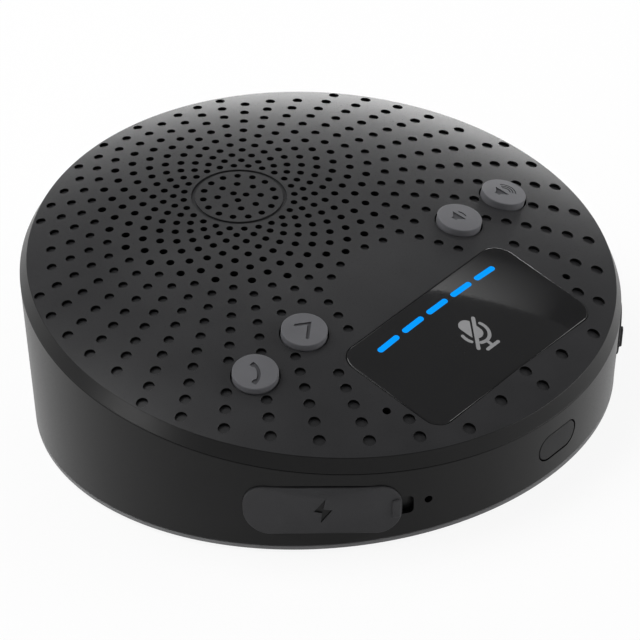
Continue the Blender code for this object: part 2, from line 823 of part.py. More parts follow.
def build_top_cover():
    """Domed plate with its holes, the panel's pocket, the buttons' holes and the posts inside."""
    centre = (0.0, SPEAKER_OFFSET)
    groove_outer = circle(GROOVE_RADIUS + 0.5 * GROOVE_WIDTH, GROOVE_SEGMENTS, centre)
    groove_inner = circle(GROOVE_RADIUS - 0.5 * GROOVE_WIDTH, GROOVE_SEGMENTS, centre)
    cuts = ring_cuts()
    cuts.append(cut(groove_outer, GROOVE_DEPTH, island=groove_inner, inside=centre_cuts()))
    pocket = FIT + PANEL_THICKNESS - PANEL_PROUD
    cuts.append(cut(panel_loop(FIT), pocket, window=window_loop()))
    for x, y in button_places():
        cuts.append(cut(circle(0.5 * BUTTON_DIAMETER + FIT, BUTTON_SEGMENTS, (x, y))))
    for side in SIDES:
        cuts.append(cut(circle(0.5 * MIC_HOLE_DIAMETER, SMALL_SEGMENTS, (side * MIC_SPREAD, -MIC_LINE))))
    inner_radius = SHOULDER_RADIUS - WALL_THICKNESS - FIT - LIP_THICKNESS
    bm = slab(circle(PLATE_RADIUS, RIM_SEGMENTS), dome_point, COVER_THICKNESS, cuts,
              screw_posts() + key_posts(), PLATE_SPACING, circle(inner_radius, RIM_SEGMENTS), cover_rim())
    add_piece("top_cover", bm, "plate", plate_frame(), in_world=True)


# Touch panel and light bars


def bar_places():
    """Plate positions of the light bars, from left to right."""
    return [((i - 0.5 * (BAR_COUNT - 1)) * BAR_PITCH, -BAR_LINE) for i in range(BAR_COUNT)]


def bar_loop(place, grow):
    """Outline of one light bar, grown all round."""
    width = BAR_WIDTH + 2.0 * grow
    return rounded_rectangle(BAR_LENGTH + 2.0 * grow, width, 0.5 * width, place, steps=3)


def build_touch_panel():
    """Glossy panel that follows the dome, with a slot for each light bar."""
    cuts = [cut(bar_loop(place, BAR_FIT)) for place in bar_places()]
    bm = slab(panel_loop(0.0), lambda x, y, depth: dome_point(x, y, depth - PANEL_PROUD),
              PANEL_THICKNESS, cuts, spacing=PANEL_SPACING)
    add_piece("touch_panel", bm, "panel", dome_seat(0.0, -PANEL_CENTRE), in_world=True)


def guide_depth():
    """Depth of the light guide's strip, under the panel."""
    return PANEL_THICKNESS - PANEL_PROUD + FIT


def build_light_guide():
    """Clear strip under the panel, with bars that rise through its slots."""
    length = (BAR_COUNT - 1) * BAR_PITCH + BAR_LENGTH + 2.0 * GUIDE_MARGIN
    width = BAR_WIDTH + 2.0 * GUIDE_MARGIN
    outline = rounded_rectangle(length, width, 0.5 * GUIDE_MARGIN, (0.0, -BAR_LINE), steps=2)
    rise = guide_depth() + PANEL_PROUD
    cuts = [cut(bar_loop(place, 0.0), -rise) for place in bar_places()]
    bm = slab(outline, lambda x, y, depth: dome_point(x, y, depth + guide_depth()),
              GUIDE_THICKNESS, cuts, spacing=PANEL_SPACING)
    add_piece("light_guide", bm, "light", dome_seat(0.0, -BAR_LINE), in_world=True)


def led_board_seat():
    """Frame of the panel's board, on its upper face under the window."""
    seat = dome_seat(0.0, -0.5 * (WINDOW_BACK + WINDOW_FRONT))
    return seat @ Matrix.Translation((0.0, 0.0, -LED_BOARD_DEPTH))


def build_led_board():
    """Flat board under the panel, with one lamp under each light bar."""
    seat = led_board_seat()
    cuts = []
    for x, y in bar_places():
        lamp = seat.inverted() @ dome_point(x, y, LED_BOARD_DEPTH)
        corner = SMALL_CORNER_SHARE * LED_SIZE
        loop = rounded_rectangle(LED_SIZE, LED_SIZE, corner, (lamp.x, lamp.y), steps=1)
        cuts.append(cut(loop, -LED_HEIGHT))
    corner = SMALL_CORNER_SHARE * LED_BOARD_LENGTH
    outline = rounded_rectangle(LED_BOARD_WIDTH, LED_BOARD_LENGTH, corner, steps=2)
    add_piece("led_board", slab(outline, flat_place, LED_BOARD_THICKNESS, cuts), "board", seat)


# Round buttons


def build_button(name, x, y):
    """Round button with a soft edge, a flange under the plate and a stem to its switch."""
    radius = 0.5 * BUTTON_DIAMETER
    flange_top = -COVER_THICKNESS - FIT
    flange_low = flange_top - BUTTON_FLANGE_THICKNESS
    stem = 0.5 * BUTTON_STEM_DIAMETER
    profile = ((BUTTON_FLAT_SHARE * radius, BUTTON_PROUD + BUTTON_CROWN),
               (radius - BUTTON_EDGE, BUTTON_PROUD),
               (radius, BUTTON_PROUD - BUTTON_EDGE), (radius, flange_top),
               (radius + BUTTON_FLANGE, flange_top), (radius + BUTTON_FLANGE, flange_low),
               (stem, flange_low), (stem, flange_low - BUTTON_STEM_LENGTH))
    add_piece(name, turned(profile, BUTTON_SEGMENTS), "button", dome_seat(x, y))


def build_key_switch(name, x, y, side):
    """Tact switch on a key board, under one button."""
    seat = key_board_seat(side)
    under = seat.inverted() @ (dome_seat(x, y) @ Vector((0.0, 0.0, -key_board_depth())))
    low = FIT - key_board_depth()
    corner = SMALL_CORNER_SHARE * SWITCH_SIZE
    body = rounded_rectangle(SWITCH_SIZE, SWITCH_SIZE, corner, (under.x, under.y), steps=2)
    plunger = circle(0.5 * SWITCH_PLUNGER, len(body), (under.x, under.y), first_turn(len(body)))
    top = low + SWITCH_HEIGHT
    shoulder = low + SWITCH_SHOULDER_SHARE * SWITCH_HEIGHT
    rows = [(body, low), (body, shoulder), (plunger, shoulder), (plunger, top)]
    add_piece(name, raised(rows), "chip", seat)


def build_key_board(name, side):
    """Board under two buttons, held by the plate's short posts."""
    width = BUTTON_OUTER - BUTTON_INNER + SWITCH_SIZE + 2.0 * KEY_BOARD_MARGIN
    length = 2.0 * (KEY_POST_SPREAD + 0.5 * KEY_POST_DIAMETER + KEY_BOARD_MARGIN)
    low = -key_board_depth() - KEY_BOARD_THICKNESS
    add_piece(name, block(width, length, low, -key_board_depth()), "board", key_board_seat(side))


def build_buttons():
    """The four round buttons with their switches and boards."""
    names = ("call", "skip", "volume_down", "volume_up")
    for name, (x, y) in zip(names, button_places()):
        build_button(name + "_button", x, y)
        build_key_switch(name + "_switch", x, y, math.copysign(1, x))
    build_key_board("left_key_board", -1)
    build_key_board("right_key_board", 1)


# Microphones


def build_microphone(name, seat):
    """Capsule in a rubber boot; the seat's Z points out through the pinhole."""
    inner = 0.5 * MIC_DIAMETER + FIT
    outer = inner + BOOT_WALL
    hole = 0.5 * MIC_HOLE_DIAMETER
    low = -BOOT_FLOOR - FIT - MIC_HEIGHT
    profile = ((outer, 0.0), (outer, low), (inner, low),
               (inner, -BOOT_FLOOR), (hole, -BOOT_FLOOR), (hole, 0.0))
    add_piece(name + "_boot", turned(profile, MIC_SEGMENTS, ring=True), "rubber", seat)
    capsule = ((0.5 * MIC_DIAMETER, low), (0.5 * MIC_DIAMETER, -BOOT_FLOOR - FIT))
    add_piece(name, turned(capsule, MIC_SEGMENTS), "steel", seat)


def build_microphones():
    """Two microphones under the plate and two behind the wall."""
    lean = wall_lean(MIC_DIAMETER + 2.0 * (FIT + BOOT_WALL))
    for side, word in zip(SIDES, ("left", "right")):
        drop = Matrix.Translation((0.0, 0.0, -COVER_THICKNESS - FIT))
        build_microphone("top_microphone_" + word, dome_seat(side * MIC_SPREAD, -MIC_LINE) @ drop)
        angle = FRONT + side * SIDE_MIC_ANGLE
        build_microphone("side_microphone_" + word,
                         wall_seat(angle, SIDE_MIC_LEVEL, WALL_THICKNESS + FIT + lean))


# Port covers and the wall


def port_angle(side):
    """Angle of a port on the wall."""
    return FRONT + side * PORT_ANGLE


def pocket_depth():
    """Depth of a port cover's pocket in the wall."""
    return FLAP_THICKNESS - FLAP_PROUD + FIT


def pocket_loop():
    """Outline of a port cover's pocket, with the nail notch at its front end."""
    length = COVER_LENGTH + 2.0 * FIT
    height = COVER_HEIGHT + 2.0 * FIT
    corner = COVER_CORNER + FIT
    half = 0.5 * NOTCH_HEIGHT
    across = half - (0.5 * height - corner)
    root = 0.5 * length - corner + math.sqrt(corner ** 2 - max(across, 0.0) ** 2)
    tip = 0.5 * length + NOTCH_LENGTH
    notch = [(root, -half), (tip, -half), (tip, half), (root, half)]
    body = rounded_rectangle(length, height, corner, steps=5)
    body = [p for p in body if p[0] < 0.0 or abs(p[1]) > half + NOTCH_CLEARANCE]
    first = next(i for i, p in enumerate(body) if p[0] > 0.0 and p[1] > 0.0)
    return body[:first] + notch + body[first:]


def port_loop(side, grow):
    """Outline of a port's mouth: flat on the left, round on the right."""
    if side < 0:
        height = USB_HEIGHT + 2.0 * grow
        return rounded_rectangle(USB_WIDTH + 2.0 * grow, height, 0.5 * height, steps=3)
    return circle(0.5 * JACK_BORE + grow, JACK_SEGMENTS)


def bolt_loop():
    """Lightning symbol on the charging port's cover."""
    tall = BOLT_HALF_HEIGHT
    shape = ((0.25, 1.0), (-0.54, -0.06), (-0.02, -0.17), (-0.13, -1.0), (0.67, 0.06), (0.07, 0.14))
    return [(tall * x, tall * y) for x, y in shape]


def build_port_cover(name, side):
    """Soft cover that follows the wall, with a pull tab at its front end and a plug behind."""
    angle = port_angle(side)
    flat = rounded_rectangle(COVER_LENGTH, COVER_HEIGHT, COVER_CORNER, steps=5)
    outline = on_wall(flat, angle, PORT_LEVEL, side)
    tab_centre = (0.5 * COVER_LENGTH - TAB_INSET - 0.5 * TAB_LENGTH, 0.0)
    tab = rounded_rectangle(TAB_LENGTH, TAB_HEIGHT, TAB_CORNER, tab_centre, steps=2)
    cuts = [cut(on_wall(tab, angle, PORT_LEVEL, side), -TAB_PROUD)]
    if side < 0:
        cuts.append(cut(on_wall(bolt_loop(), angle, PORT_LEVEL, side), BOLT_DEPTH))
    plug = on_wall(port_loop(side, -2.0 * FIT), angle, PORT_LEVEL, side)
    reach = FLAP_THICKNESS - FLAP_PROUD + PLUG_REACH
    plug_post = post(plug, [wall_place(u, v, reach) for u, v in plug])
    bm = slab(outline, lambda u, v, depth: wall_place(u, v, depth - FLAP_PROUD), FLAP_THICKNESS,
              cuts, [plug_post], WALL_SPACING)
    hinge_angle = angle + side * 0.5 * COVER_LENGTH / SHOULDER_RADIUS
    hinge = Matrix.Translation(wall_point(hinge_angle, PORT_LEVEL, -FLAP_PROUD))
    add_piece(name, bm, "flap", hinge, in_world=True)


def wall_rows(depth):
    """Lower and upper edge of the wall at a depth, laid out flat."""
    lower = []
    upper = []
    low = FOOT_PROUD + TRIM_HEIGHT + PARTING_LINE
    high = -SHOULDER_DROP - PARTING_LINE
    to_plate = plate_frame().inverted()
    for i in range(RIM_SEGMENTS + 1):
        angle = BACK + 2.0 * math.pi * i / RIM_SEGMENTS
        foot = wall_point(angle, 0.0, depth)
        head = wall_point(angle, 1.0, depth)
        lower.append(unroll(angle, (low - foot.z) / (head.z - foot.z)))
        start = (to_plate @ foot).z
        end = (to_plate @ head).z
        upper.append(unroll(angle, (high - start) / (end - start)))
    return lower + upper[::-1]


def power_loop(grow):
    """Outline of the power button on the wall, grown all round."""
    height = POWER_HEIGHT + 2.0 * grow
    loop = rounded_rectangle(POWER_WIDTH + 2.0 * grow, height, 0.5 * height, steps=4)
    return on_wall(loop, FRONT, POWER_LEVEL)


def build_main_housing():
    """Wall ring: pockets for the port covers, side pinholes and the power button's opening."""
    cuts = [cut(power_loop(FIT))]
    for side in SIDES:
        window = on_wall(port_loop(side, FIT), port_angle(side), PORT_LEVEL, side)
        pocket = on_wall(pocket_loop(), port_angle(side), PORT_LEVEL, side)
        cuts.append(cut(pocket, pocket_depth(), window=window))
        hole = circle(0.5 * MIC_HOLE_DIAMETER, SMALL_SEGMENTS)
        cuts.append(cut(on_wall(hole, FRONT + side * SIDE_MIC_ANGLE, SIDE_MIC_LEVEL, side)))
    bm = slab(wall_rows(0.0), wall_place, WALL_THICKNESS, cuts, spacing=WALL_SPACING,
              inner=wall_rows(WALL_THICKNESS), wrapped=True)
    add_piece("main_housing", bm, "wall", in_world=True)


def build_port_covers():
    """The two port covers."""
    build_port_cover("charge_port_cover", -1)
    build_port_cover("aux_port_cover", 1)


# Power button


def power_switch_depth():
    """Depth of the power switch's front behind the outer face of the wall."""
    flange = WALL_THICKNESS + FIT + POWER_FLANGE_THICKNESS
    return flange + POWER_STEM_LENGTH + POWER_TRAVEL + FIT


def build_power_button():
    """Flush oblong button with a flange behind the wall and a stem to its switch."""
    flange_out = WALL_THICKNESS + FIT
    flange_in = flange_out + POWER_FLANGE_THICKNESS
    face = power_loop(0.0)
    flange = power_loop(POWER_FLANGE)
    stem = on_wall(circle(0.5 * POWER_STEM_DIAMETER, len(face), turn=-BACK), FRONT, POWER_LEVEL)
    rows = ((face, 0.0), (face, flange_out), (flange, flange_out), (flange, flange_in),
            (stem, flange_in), (stem, flange_in + POWER_STEM_LENGTH))
    bm = loft([[wall_place(u, v, depth) for u, v in loop] for loop, depth in rows])
    add_piece("power_button", bm, "wall", wall_seat(FRONT, POWER_LEVEL, 0.0), in_world=True)


def build_power_switch():
    """Upright switch behind the power button, standing on the main board's tab."""
    seat = wall_seat(FRONT, POWER_LEVEL, power_switch_depth())
    low = board_top() + FIT - seat.translation.z
    centre = (0.0, low + 0.5 * POWER_SWITCH_HEIGHT)
    bm = block(POWER_SWITCH_WIDTH, POWER_SWITCH_HEIGHT, -POWER_SWITCH_LENGTH, 0.0, centre=centre)
    add_piece("power_switch", bm, "chip", seat)


# Base, foot and screws


def base_place(x, y, depth):
    """Place for the base cover: its outer face is underneath."""
    return Vector((x, y, FOOT_PROUD + depth))


def base_plug_radius():
    """Radius of the base cover, which fits inside the wall."""
    return BASE_RADIUS - WALL_THICKNESS - FIT


def build_base_cover():
    """Round plate with the foot's groove, counterbored screw holes and the board's standoffs."""
    centre = (0.0, BASE_SET_BACK)
    outer = circle(FOOT_RADIUS + FIT, FOOT_SEGMENTS, centre)
    inner = circle(FOOT_RADIUS - FOOT_WIDTH - FIT, FOOT_SEGMENTS, centre)
    cuts = [cut(outer, FOOT_GROOVE, island=inner)]
    for x, y in post_places():
        axis = post_axis(x, y)
        head = circle(0.5 * SCREW_HEAD_DIAMETER + FIT, SCREW_SEGMENTS, axis)
        shank = circle(0.5 * SCREW_SHANK_DIAMETER + FIT, SCREW_SEGMENTS, axis)
        cuts.append(cut(head, COUNTERBORE_DEPTH, window=shank))
    posts = []
    top = board_top() - BOARD_THICKNESS - FIT
    places = (mirrored(BASE_RADIUS - SIDE_STANDOFF_INSET, SIDE_STANDOFF_ANGLE)
              + mirrored(BASE_RADIUS - FRONT_STANDOFF_INSET, FRONT_STANDOFF_ANGLE))
    for place in places:
        loop = circle(0.5 * STANDOFF_DIAMETER, SCREW_SEGMENTS, place)
        posts.append(post(loop, [Vector((u, v, top)) for u, v in loop]))
    bm = slab(circle(base_plug_radius(), FOOT_SEGMENTS, centre), base_place, BASE_THICKNESS, cuts, posts)
    add_piece("base_cover", bm, "wall", in_world=True)


def build_trim_and_foot():
    """Pale ring along the bottom edge of the wall, and the rubber foot ring."""
    inner = base_plug_radius() + FIT
    trim = ((inner, 0.0), (inner, TRIM_HEIGHT), (BASE_RADIUS, TRIM_HEIGHT), (BASE_RADIUS, 0.0))
    seat = Matrix.Translation((0.0, BASE_SET_BACK, FOOT_PROUD))
    add_piece("base_trim_ring", turned(trim, FOOT_SEGMENTS, ring=True), "trim", seat)
    low = FOOT_RADIUS - FOOT_WIDTH
    top = FOOT_PROUD + FOOT_GROOVE - FIT
    foot = ((low, 0.0), (low, top), (FOOT_RADIUS, top), (FOOT_RADIUS, 0.0))
    seat = Matrix.Translation((0.0, BASE_SET_BACK, 0.0))
    add_piece("foot_ring", turned(foot, FOOT_SEGMENTS, ring=True), "rubber", seat)


def build_screws():
    """Four screws through the base cover into the plate's posts."""
    head = 0.5 * SCREW_HEAD_DIAMETER
    shank = 0.5 * SCREW_SHANK_DIAMETER
    socket = 0.5 * SCREW_SOCKET_DIAMETER
    profile = ((socket, SCREW_SOCKET_DEPTH), (socket, 0.0),
               (head - SCREW_HEAD_EDGE, 0.0), (head, SCREW_HEAD_EDGE), (head, SCREW_HEAD_HEIGHT),
               (shank, SCREW_HEAD_HEIGHT), (shank, SCREW_HEAD_HEIGHT + SCREW_LENGTH))
    low = FOOT_PROUD + COUNTERBORE_DEPTH - FIT - SCREW_HEAD_HEIGHT
    for i, (x, y) in enumerate(post_places()):
        axis = post_axis(x, y)
        seat = Matrix.Translation((axis[0], axis[1], low))
        add_piece("base_screw_" + str(i + 1), turned(profile, SCREW_SEGMENTS), "steel", seat)


# Main board, sockets and battery


def port_height(side):
    """Height of a port's centre over the table."""
    return wall_point(port_angle(side), PORT_LEVEL, 0.0).z


def board_top():
    """Height of the main board's upper face: the audio socket stands on it."""
    return port_height(1) - 0.5 * JACK_HEIGHT - FIT


def build_main_board():
    """Half-round board in the front half, with a tab under the power switch."""
    tab = wall_seat(FRONT, POWER_LEVEL, power_switch_depth()).translation.y
    back = math.asin((-BOARD_BACK - BASE_SET_BACK) / BOARD_RADIUS)
    front = math.asin((-BOARD_FRONT - BASE_SET_BACK) / BOARD_RADIUS)
    outline = []
    for start, end in ((front, back), (math.pi - back, math.pi - front)):
        for i in range(BOARD_SEGMENTS + 1):
            a = start + (end - start) * i / BOARD_SEGMENTS
            outline.append((BOARD_RADIUS * math.cos(a), BASE_SET_BACK + BOARD_RADIUS * math.sin(a)))
    outline += [(-BOARD_TAB_HALF, -BOARD_FRONT), (-BOARD_TAB_HALF, tab),
                (BOARD_TAB_HALF, tab), (BOARD_TAB_HALF, -BOARD_FRONT)]
    seat = Matrix.Translation((0.0, 0.0, board_top()))
    add_piece("main_board", slab(outline, flat_place, BOARD_THICKNESS), "board", seat)
    chip = block(CHIP_SIZE, CHIP_SIZE, FIT, FIT + CHIP_HEIGHT, centre=CHIP_PLACE)
    add_piece("processor_chip", chip, "chip", seat)
    radio = block(RADIO_WIDTH, RADIO_LENGTH, FIT, FIT + RADIO_HEIGHT, centre=RADIO_PLACE)
    add_piece("radio_module", radio, "steel", seat)


def build_usb_socket():
    """Flat socket with its tongue, on a riser so that its mouth meets the port."""
    seat = wall_seat(port_angle(-1), PORT_LEVEL, WALL_THICKNESS + FIT + wall_lean(USB_HEIGHT))
    riser = port_height(-1) - board_top() - FIT - 0.5 * USB_HEIGHT
    corner = USB_CORNER_SHARE * USB_HEIGHT
    outer = rounded_rectangle(USB_WIDTH, USB_HEIGHT + riser, corner, (0.0, -0.5 * riser), steps=3)
    shell = 2.0 * USB_SHELL
    inner = rounded_rectangle(USB_WIDTH - shell, USB_HEIGHT - shell, corner, steps=3)
    corner = USB_CORNER_SHARE * USB_TONGUE_HEIGHT
    tongue = rounded_rectangle(USB_TONGUE_WIDTH, USB_TONGUE_HEIGHT, corner, steps=3)
    floor = -USB_LENGTH + 2.0 * shell
    bm = raised([(outer, -USB_LENGTH), (outer, 0.0), (inner, 0.0), (inner, floor),
                 (tongue, floor), (tongue, floor + USB_TONGUE_LENGTH)])
    add_piece("usb_c_socket", bm, "steel", seat)


def build_aux_jack():
    """Block with a round bore, standing on the main board."""
    seat = wall_seat(port_angle(1), PORT_LEVEL, WALL_THICKNESS + FIT + wall_lean(JACK_HEIGHT))
    outer = rounded_rectangle(JACK_WIDTH, JACK_HEIGHT, SMALL_CORNER_SHARE * JACK_HEIGHT, steps=3)
    bore = circle(0.5 * JACK_BORE, len(outer), turn=first_turn(len(outer)))
    bm = raised([(outer, -JACK_LENGTH), (outer, 0.0), (bore, 0.0), (bore, -JACK_BORE_DEPTH)])
    add_piece("aux_jack", bm, "chip", seat)


def wall_lean(height):
    """How far the leaning wall comes forward over half a height."""
    return 0.5 * height * math.tan(PLATE_TILT)


def build_battery():
    """Flat battery in a tray on the base cover, under the speaker."""
    seat = Matrix.Translation((0.0, BATTERY_PLACE, base_top() + FIT))
    cell = rounded_rectangle(BATTERY_WIDTH, BATTERY_LENGTH, BATTERY_CORNER, steps=3)
    small = rounded_rectangle(BATTERY_WIDTH - BATTERY_CORNER, BATTERY_LENGTH - BATTERY_CORNER,
                              BATTERY_CORNER, steps=3)
    rows = [(small, 0.0), (cell, BATTERY_EDGE),
            (cell, BATTERY_HEIGHT - BATTERY_EDGE), (small, BATTERY_HEIGHT)]
    add_piece("battery", raised(rows), "battery", seat)
    rows = []
    outer = FIT + TRAY_WALL
    for grow, height in ((FIT, 0.0), (FIT, TRAY_HEIGHT), (outer, TRAY_HEIGHT), (outer, 0.0)):
        loop = rounded_rectangle(BATTERY_WIDTH + 2.0 * grow, BATTERY_LENGTH + 2.0 * grow,
                                 BATTERY_CORNER + grow, steps=3)
        rows.append([Vector((x, y, height)) for x, y in loop])
    add_piece("battery_tray", loft(rows, ring=True), "wall", seat)


# Speaker


def speaker_seat():
    """Frame of the speaker: its axis is the dome's normal at the middle of the hole pattern."""
    return dome_seat(0.0, SPEAKER_OFFSET)


def basket_bottom():
    """Height of the basket's underside in the speaker's frame."""
    return -SPEAKER_SEAT - BASKET_DEPTH


def basket_inner_radius(height):
    """Inner radius of the basket's slanting wall at a height."""
    top = -SPEAKER_SEAT - SPEAKER_FLANGE_THICKNESS
    low = basket_bottom() + BASKET_WALL
    small = BASKET_RADIUS - BASKET_WALL
    return small + (SPEAKER_MOUTH_RADIUS - small) * (height - low) / (top - low)


def cone_edge():
    """Height of the cone's outer edge in the speaker's frame."""
    return -SPEAKER_SEAT - SPEAKER_FLANGE_THICKNESS


def coil_radius():
    """Inner radius of the voice coil, round the pole."""
    return POLE_RADIUS + FIT


def gap_radius():
    """Radius of the hole that the voice coil moves in."""
    return coil_radius() + COIL_THICKNESS + FIT


def build_speaker_frame():
    """Flange and conical basket."""
    top = -SPEAKER_SEAT
    under = top - SPEAKER_FLANGE_THICKNESS
    low = basket_bottom()
    profile = ((SPEAKER_RADIUS, top), (SPEAKER_RADIUS, under), (SPEAKER_MOUTH_RADIUS + BASKET_WALL, under),
               (BASKET_RADIUS, low), (BASKET_HOLE_RADIUS, low), (BASKET_HOLE_RADIUS, low + BASKET_WALL),
               (BASKET_RADIUS - BASKET_WALL, low + BASKET_WALL), (SPEAKER_MOUTH_RADIUS, under),
               (SPEAKER_MOUTH_RADIUS, top))
    add_piece("speaker_frame", turned(profile, SPEAKER_SEGMENTS, ring=True), "chip", speaker_seat())


def ring_profile(inner, outer, top, thickness):
    """Profile of a flat ring."""
    return ((inner, top), (inner, top - thickness), (outer, top - thickness), (outer, top))


def build_speaker_motor():
    """Top plate, ring magnet, and the yoke with its pole."""
    seat = speaker_seat()
    plate_top = basket_bottom() - FIT
    plate = ring_profile(gap_radius(), TOP_PLATE_RADIUS, plate_top, TOP_PLATE_THICKNESS)
    add_piece("speaker_top_plate", turned(plate, SPEAKER_SEGMENTS, ring=True), "steel", seat)
    magnet_top = plate_top - TOP_PLATE_THICKNESS - FIT
    hole = gap_radius() + MAGNET_HOLE_MARGIN
    magnet = ring_profile(hole, MAGNET_RADIUS, magnet_top, MAGNET_THICKNESS)
    add_piece("speaker_magnet", turned(magnet, SPEAKER_SEGMENTS, ring=True), "magnet", seat)
    yoke_top = magnet_top - MAGNET_THICKNESS - FIT
    yoke = ((POLE_RADIUS, plate_top), (POLE_RADIUS, yoke_top), (YOKE_RADIUS, yoke_top),
            (YOKE_RADIUS, yoke_top - YOKE_THICKNESS))
    add_piece("speaker_yoke", turned(yoke, SPEAKER_SEGMENTS), "steel", seat)


def build_speaker_cone():
    """Cone, dust cap and voice coil, which move together."""
    seat = speaker_seat()
    edge = cone_edge()
    neck = coil_radius()
    low = edge - CONE_DEPTH
    cone = ((CONE_RADIUS, edge), (CONE_RADIUS, edge - CONE_THICKNESS),
            (neck, low - CONE_THICKNESS), (neck, low))
    add_piece("speaker_cone", turned(cone, SPEAKER_SEGMENTS, ring=True), "paper", seat)
    coil_top = low - CONE_THICKNESS - FIT
    coil = ring_profile(neck, neck + COIL_THICKNESS, coil_top, COIL_LENGTH)
    add_piece("voice_coil", turned(coil, SPEAKER_SEGMENTS, ring=True), "copper", seat)
    rim = low + (DUST_CAP_RADIUS - neck) / (CONE_RADIUS - neck) * CONE_DEPTH + FIT
    wall = CONE_THICKNESS
    arc = ((0.15, 1.0), (0.6, 0.7), (1.0, 0.0))
    inside_rows = [(s * (DUST_CAP_RADIUS - wall), rim + h * DUST_CAP_HEIGHT) for s, h in arc]
    outside_rows = [(s * DUST_CAP_RADIUS, rim + h * DUST_CAP_HEIGHT + (wall if h else 0.0)) for s, h in arc]
    add_piece("speaker_dust_cap", turned(inside_rows + outside_rows[::-1], SPEAKER_SEGMENTS), "paper", seat)


def build_speaker_suspension():
    """Half-roll surround round the cone and the spider round the voice coil."""
    seat = speaker_seat()
    inner = CONE_RADIUS + FIT
    outer = SPEAKER_MOUTH_RADIUS - FIT
    middle = 0.5 * (inner + outer)
    half = 0.5 * (outer - inner)
    low = cone_edge()
    angles = [math.pi * i / SURROUND_STEPS for i in range(SURROUND_STEPS + 1)]
    over = [(middle + half * math.cos(a), low + SURROUND_ROLL * math.sin(a)) for a in angles]
    thin = half - CONE_THICKNESS
    rise = SURROUND_ROLL - CONE_THICKNESS
    under = [(middle + thin * math.cos(a), low + rise * math.sin(a)) for a in angles]
    add_piece("speaker_surround", turned(over + under[::-1], SPEAKER_SEGMENTS, ring=True), "rubber", seat)
    top = cone_edge() - CONE_DEPTH - SPIDER_DROP
    outer = basket_inner_radius(top - SPIDER_THICKNESS) - FIT
    ring = ring_profile(gap_radius(), outer, top, SPIDER_THICKNESS)
    add_piece("speaker_spider", turned(ring, SPEAKER_SEGMENTS, ring=True), "ribbon", seat)


def gasket_radii():
    """Inner and outer radius of the speaker's gasket."""
    outer = SPEAKER_RADIUS - FIT
    return outer - GASKET_WIDTH, outer


def build_speaker_gasket():
    """Foam ring between the plate and the speaker's flange, and the cloth behind the holes."""
    seat = speaker_seat()
    inner, outer = gasket_radii()
    rows = []
    for radius, on_plate in ((inner, True), (outer, True), (outer, False), (inner, False)):
        row = []
        for x, y in circle(radius, SPEAKER_SEGMENTS, (0.0, SPEAKER_OFFSET)):
            local = seat.inverted() @ dome_point(x, y, COVER_THICKNESS + FIT)
            if not on_plate:
                local.z = FIT - SPEAKER_SEAT
            row.append(local)
        rows.append(row)
    add_piece("speaker_gasket", loft(rows, ring=True), "foam", seat)
    bm = slab(circle(inner - FIT, SPEAKER_SEGMENTS, (0.0, SPEAKER_OFFSET)),
              lambda x, y, depth: dome_point(x, y, depth + COVER_THICKNESS + FIT), CLOTH_THICKNESS,
              spacing=PLATE_SPACING)
    add_piece("grille_cloth", bm, "cloth", seat, in_world=True)


def build_speaker():
    """The whole speaker under the plate."""
    build_speaker_frame()
    build_speaker_motor()
    build_speaker_cone()
    build_speaker_suspension()
    build_speaker_gasket()


# Leads inside


def swept(points, section):
    """A body swept along points that lie in one upright plane, from a flat section (across, thick)."""
    rows = []
    last = len(points) - 1
    across = Vector((0.0, 0.0, 1.0)).cross(points[-1] - points[0]).normalized()
    for i, point in enumerate(points):
        along = (points[min(i + 1, last)] - points[max(i - 1, 0)]).normalized()
        up = across.cross(along)
        rows.append([point + across * a + up * b for a, b in section])
    return loft(rows)


def bend(start, middle, end):
    """Points of a smooth bend from start to end, drawn towards middle."""
    points = []
    for i in range(BEND_STEPS + 1):
        t = i / BEND_STEPS
        points.append(start.lerp(middle, t).lerp(middle.lerp(end, t), t))
    return points


def build_ribbon(name, start, end):
    """Ribbon that hangs from one board and bends onto the main board."""
    half = 0.5 * RIBBON_WIDTH
    thick = 0.5 * RIBBON_THICKNESS
    section = [(-half, -thick), (half, -thick), (half, thick), (-half, thick)]
    corner = Vector((start.x, start.y, end.z))
    add_piece(name, swept(bend(start, corner, end), section), "ribbon", in_world=True)


def build_leads():
    """Ribbons from the upper boards, and the battery's and the speaker's leads."""
    lie = board_top() + FIT + 0.5 * RIBBON_THICKNESS
    led = led_board_seat()
    start = led @ Vector((0.0, 0.0, -LED_BOARD_THICKNESS - FIT))
    build_ribbon("touch_ribbon", start, Vector((0.0, start.y + RIBBON_RUN, lie)))
    for side, word in zip(SIDES, ("left", "right")):
        start = key_board_seat(side) @ Vector((0.0, 0.0, -key_board_depth() - KEY_BOARD_THICKNESS - FIT))
        build_ribbon(word + "_key_ribbon", start, Vector((start.x, start.y - RIBBON_RUN, lie)))
    radius = 0.5 * LEAD_DIAMETER
    section = circle(radius, SMALL_SEGMENTS)
    rest = board_top() + FIT + radius
    start = Vector((LEAD_PLACE, BATTERY_PLACE - 0.5 * BATTERY_LENGTH - FIT, rest))
    end = Vector((LEAD_PLACE, -BOARD_BACK - LEAD_RUN, rest))
    add_piece("battery_lead", swept(bend(start, start.lerp(end, 0.5), end), section), "rubber", in_world=True)
    seat = speaker_seat()
    depth = basket_bottom() + 0.5 * BASKET_DEPTH
    side_radius = basket_inner_radius(depth) + 2.0 * BASKET_WALL + radius + FIT
    start = seat @ Vector((0.0, -side_radius, depth))
    end = Vector((0.0, -BOARD_BACK - LEAD_RUN, rest))
    middle = Vector((0.0, end.y, start.z))
    add_piece("speaker_lead", swept(bend(start, middle, end), section), "rubber", in_world=True)


def clear_scene():
    """Start from an empty scene with one empty that carries every piece."""
    for item in list(bpy.data.objects):
        bpy.data.objects.remove(item, do_unlink=True)
    carrier = bpy.data.objects.new("speakerphone", None)
    bpy.context.collection.objects.link(carrier)


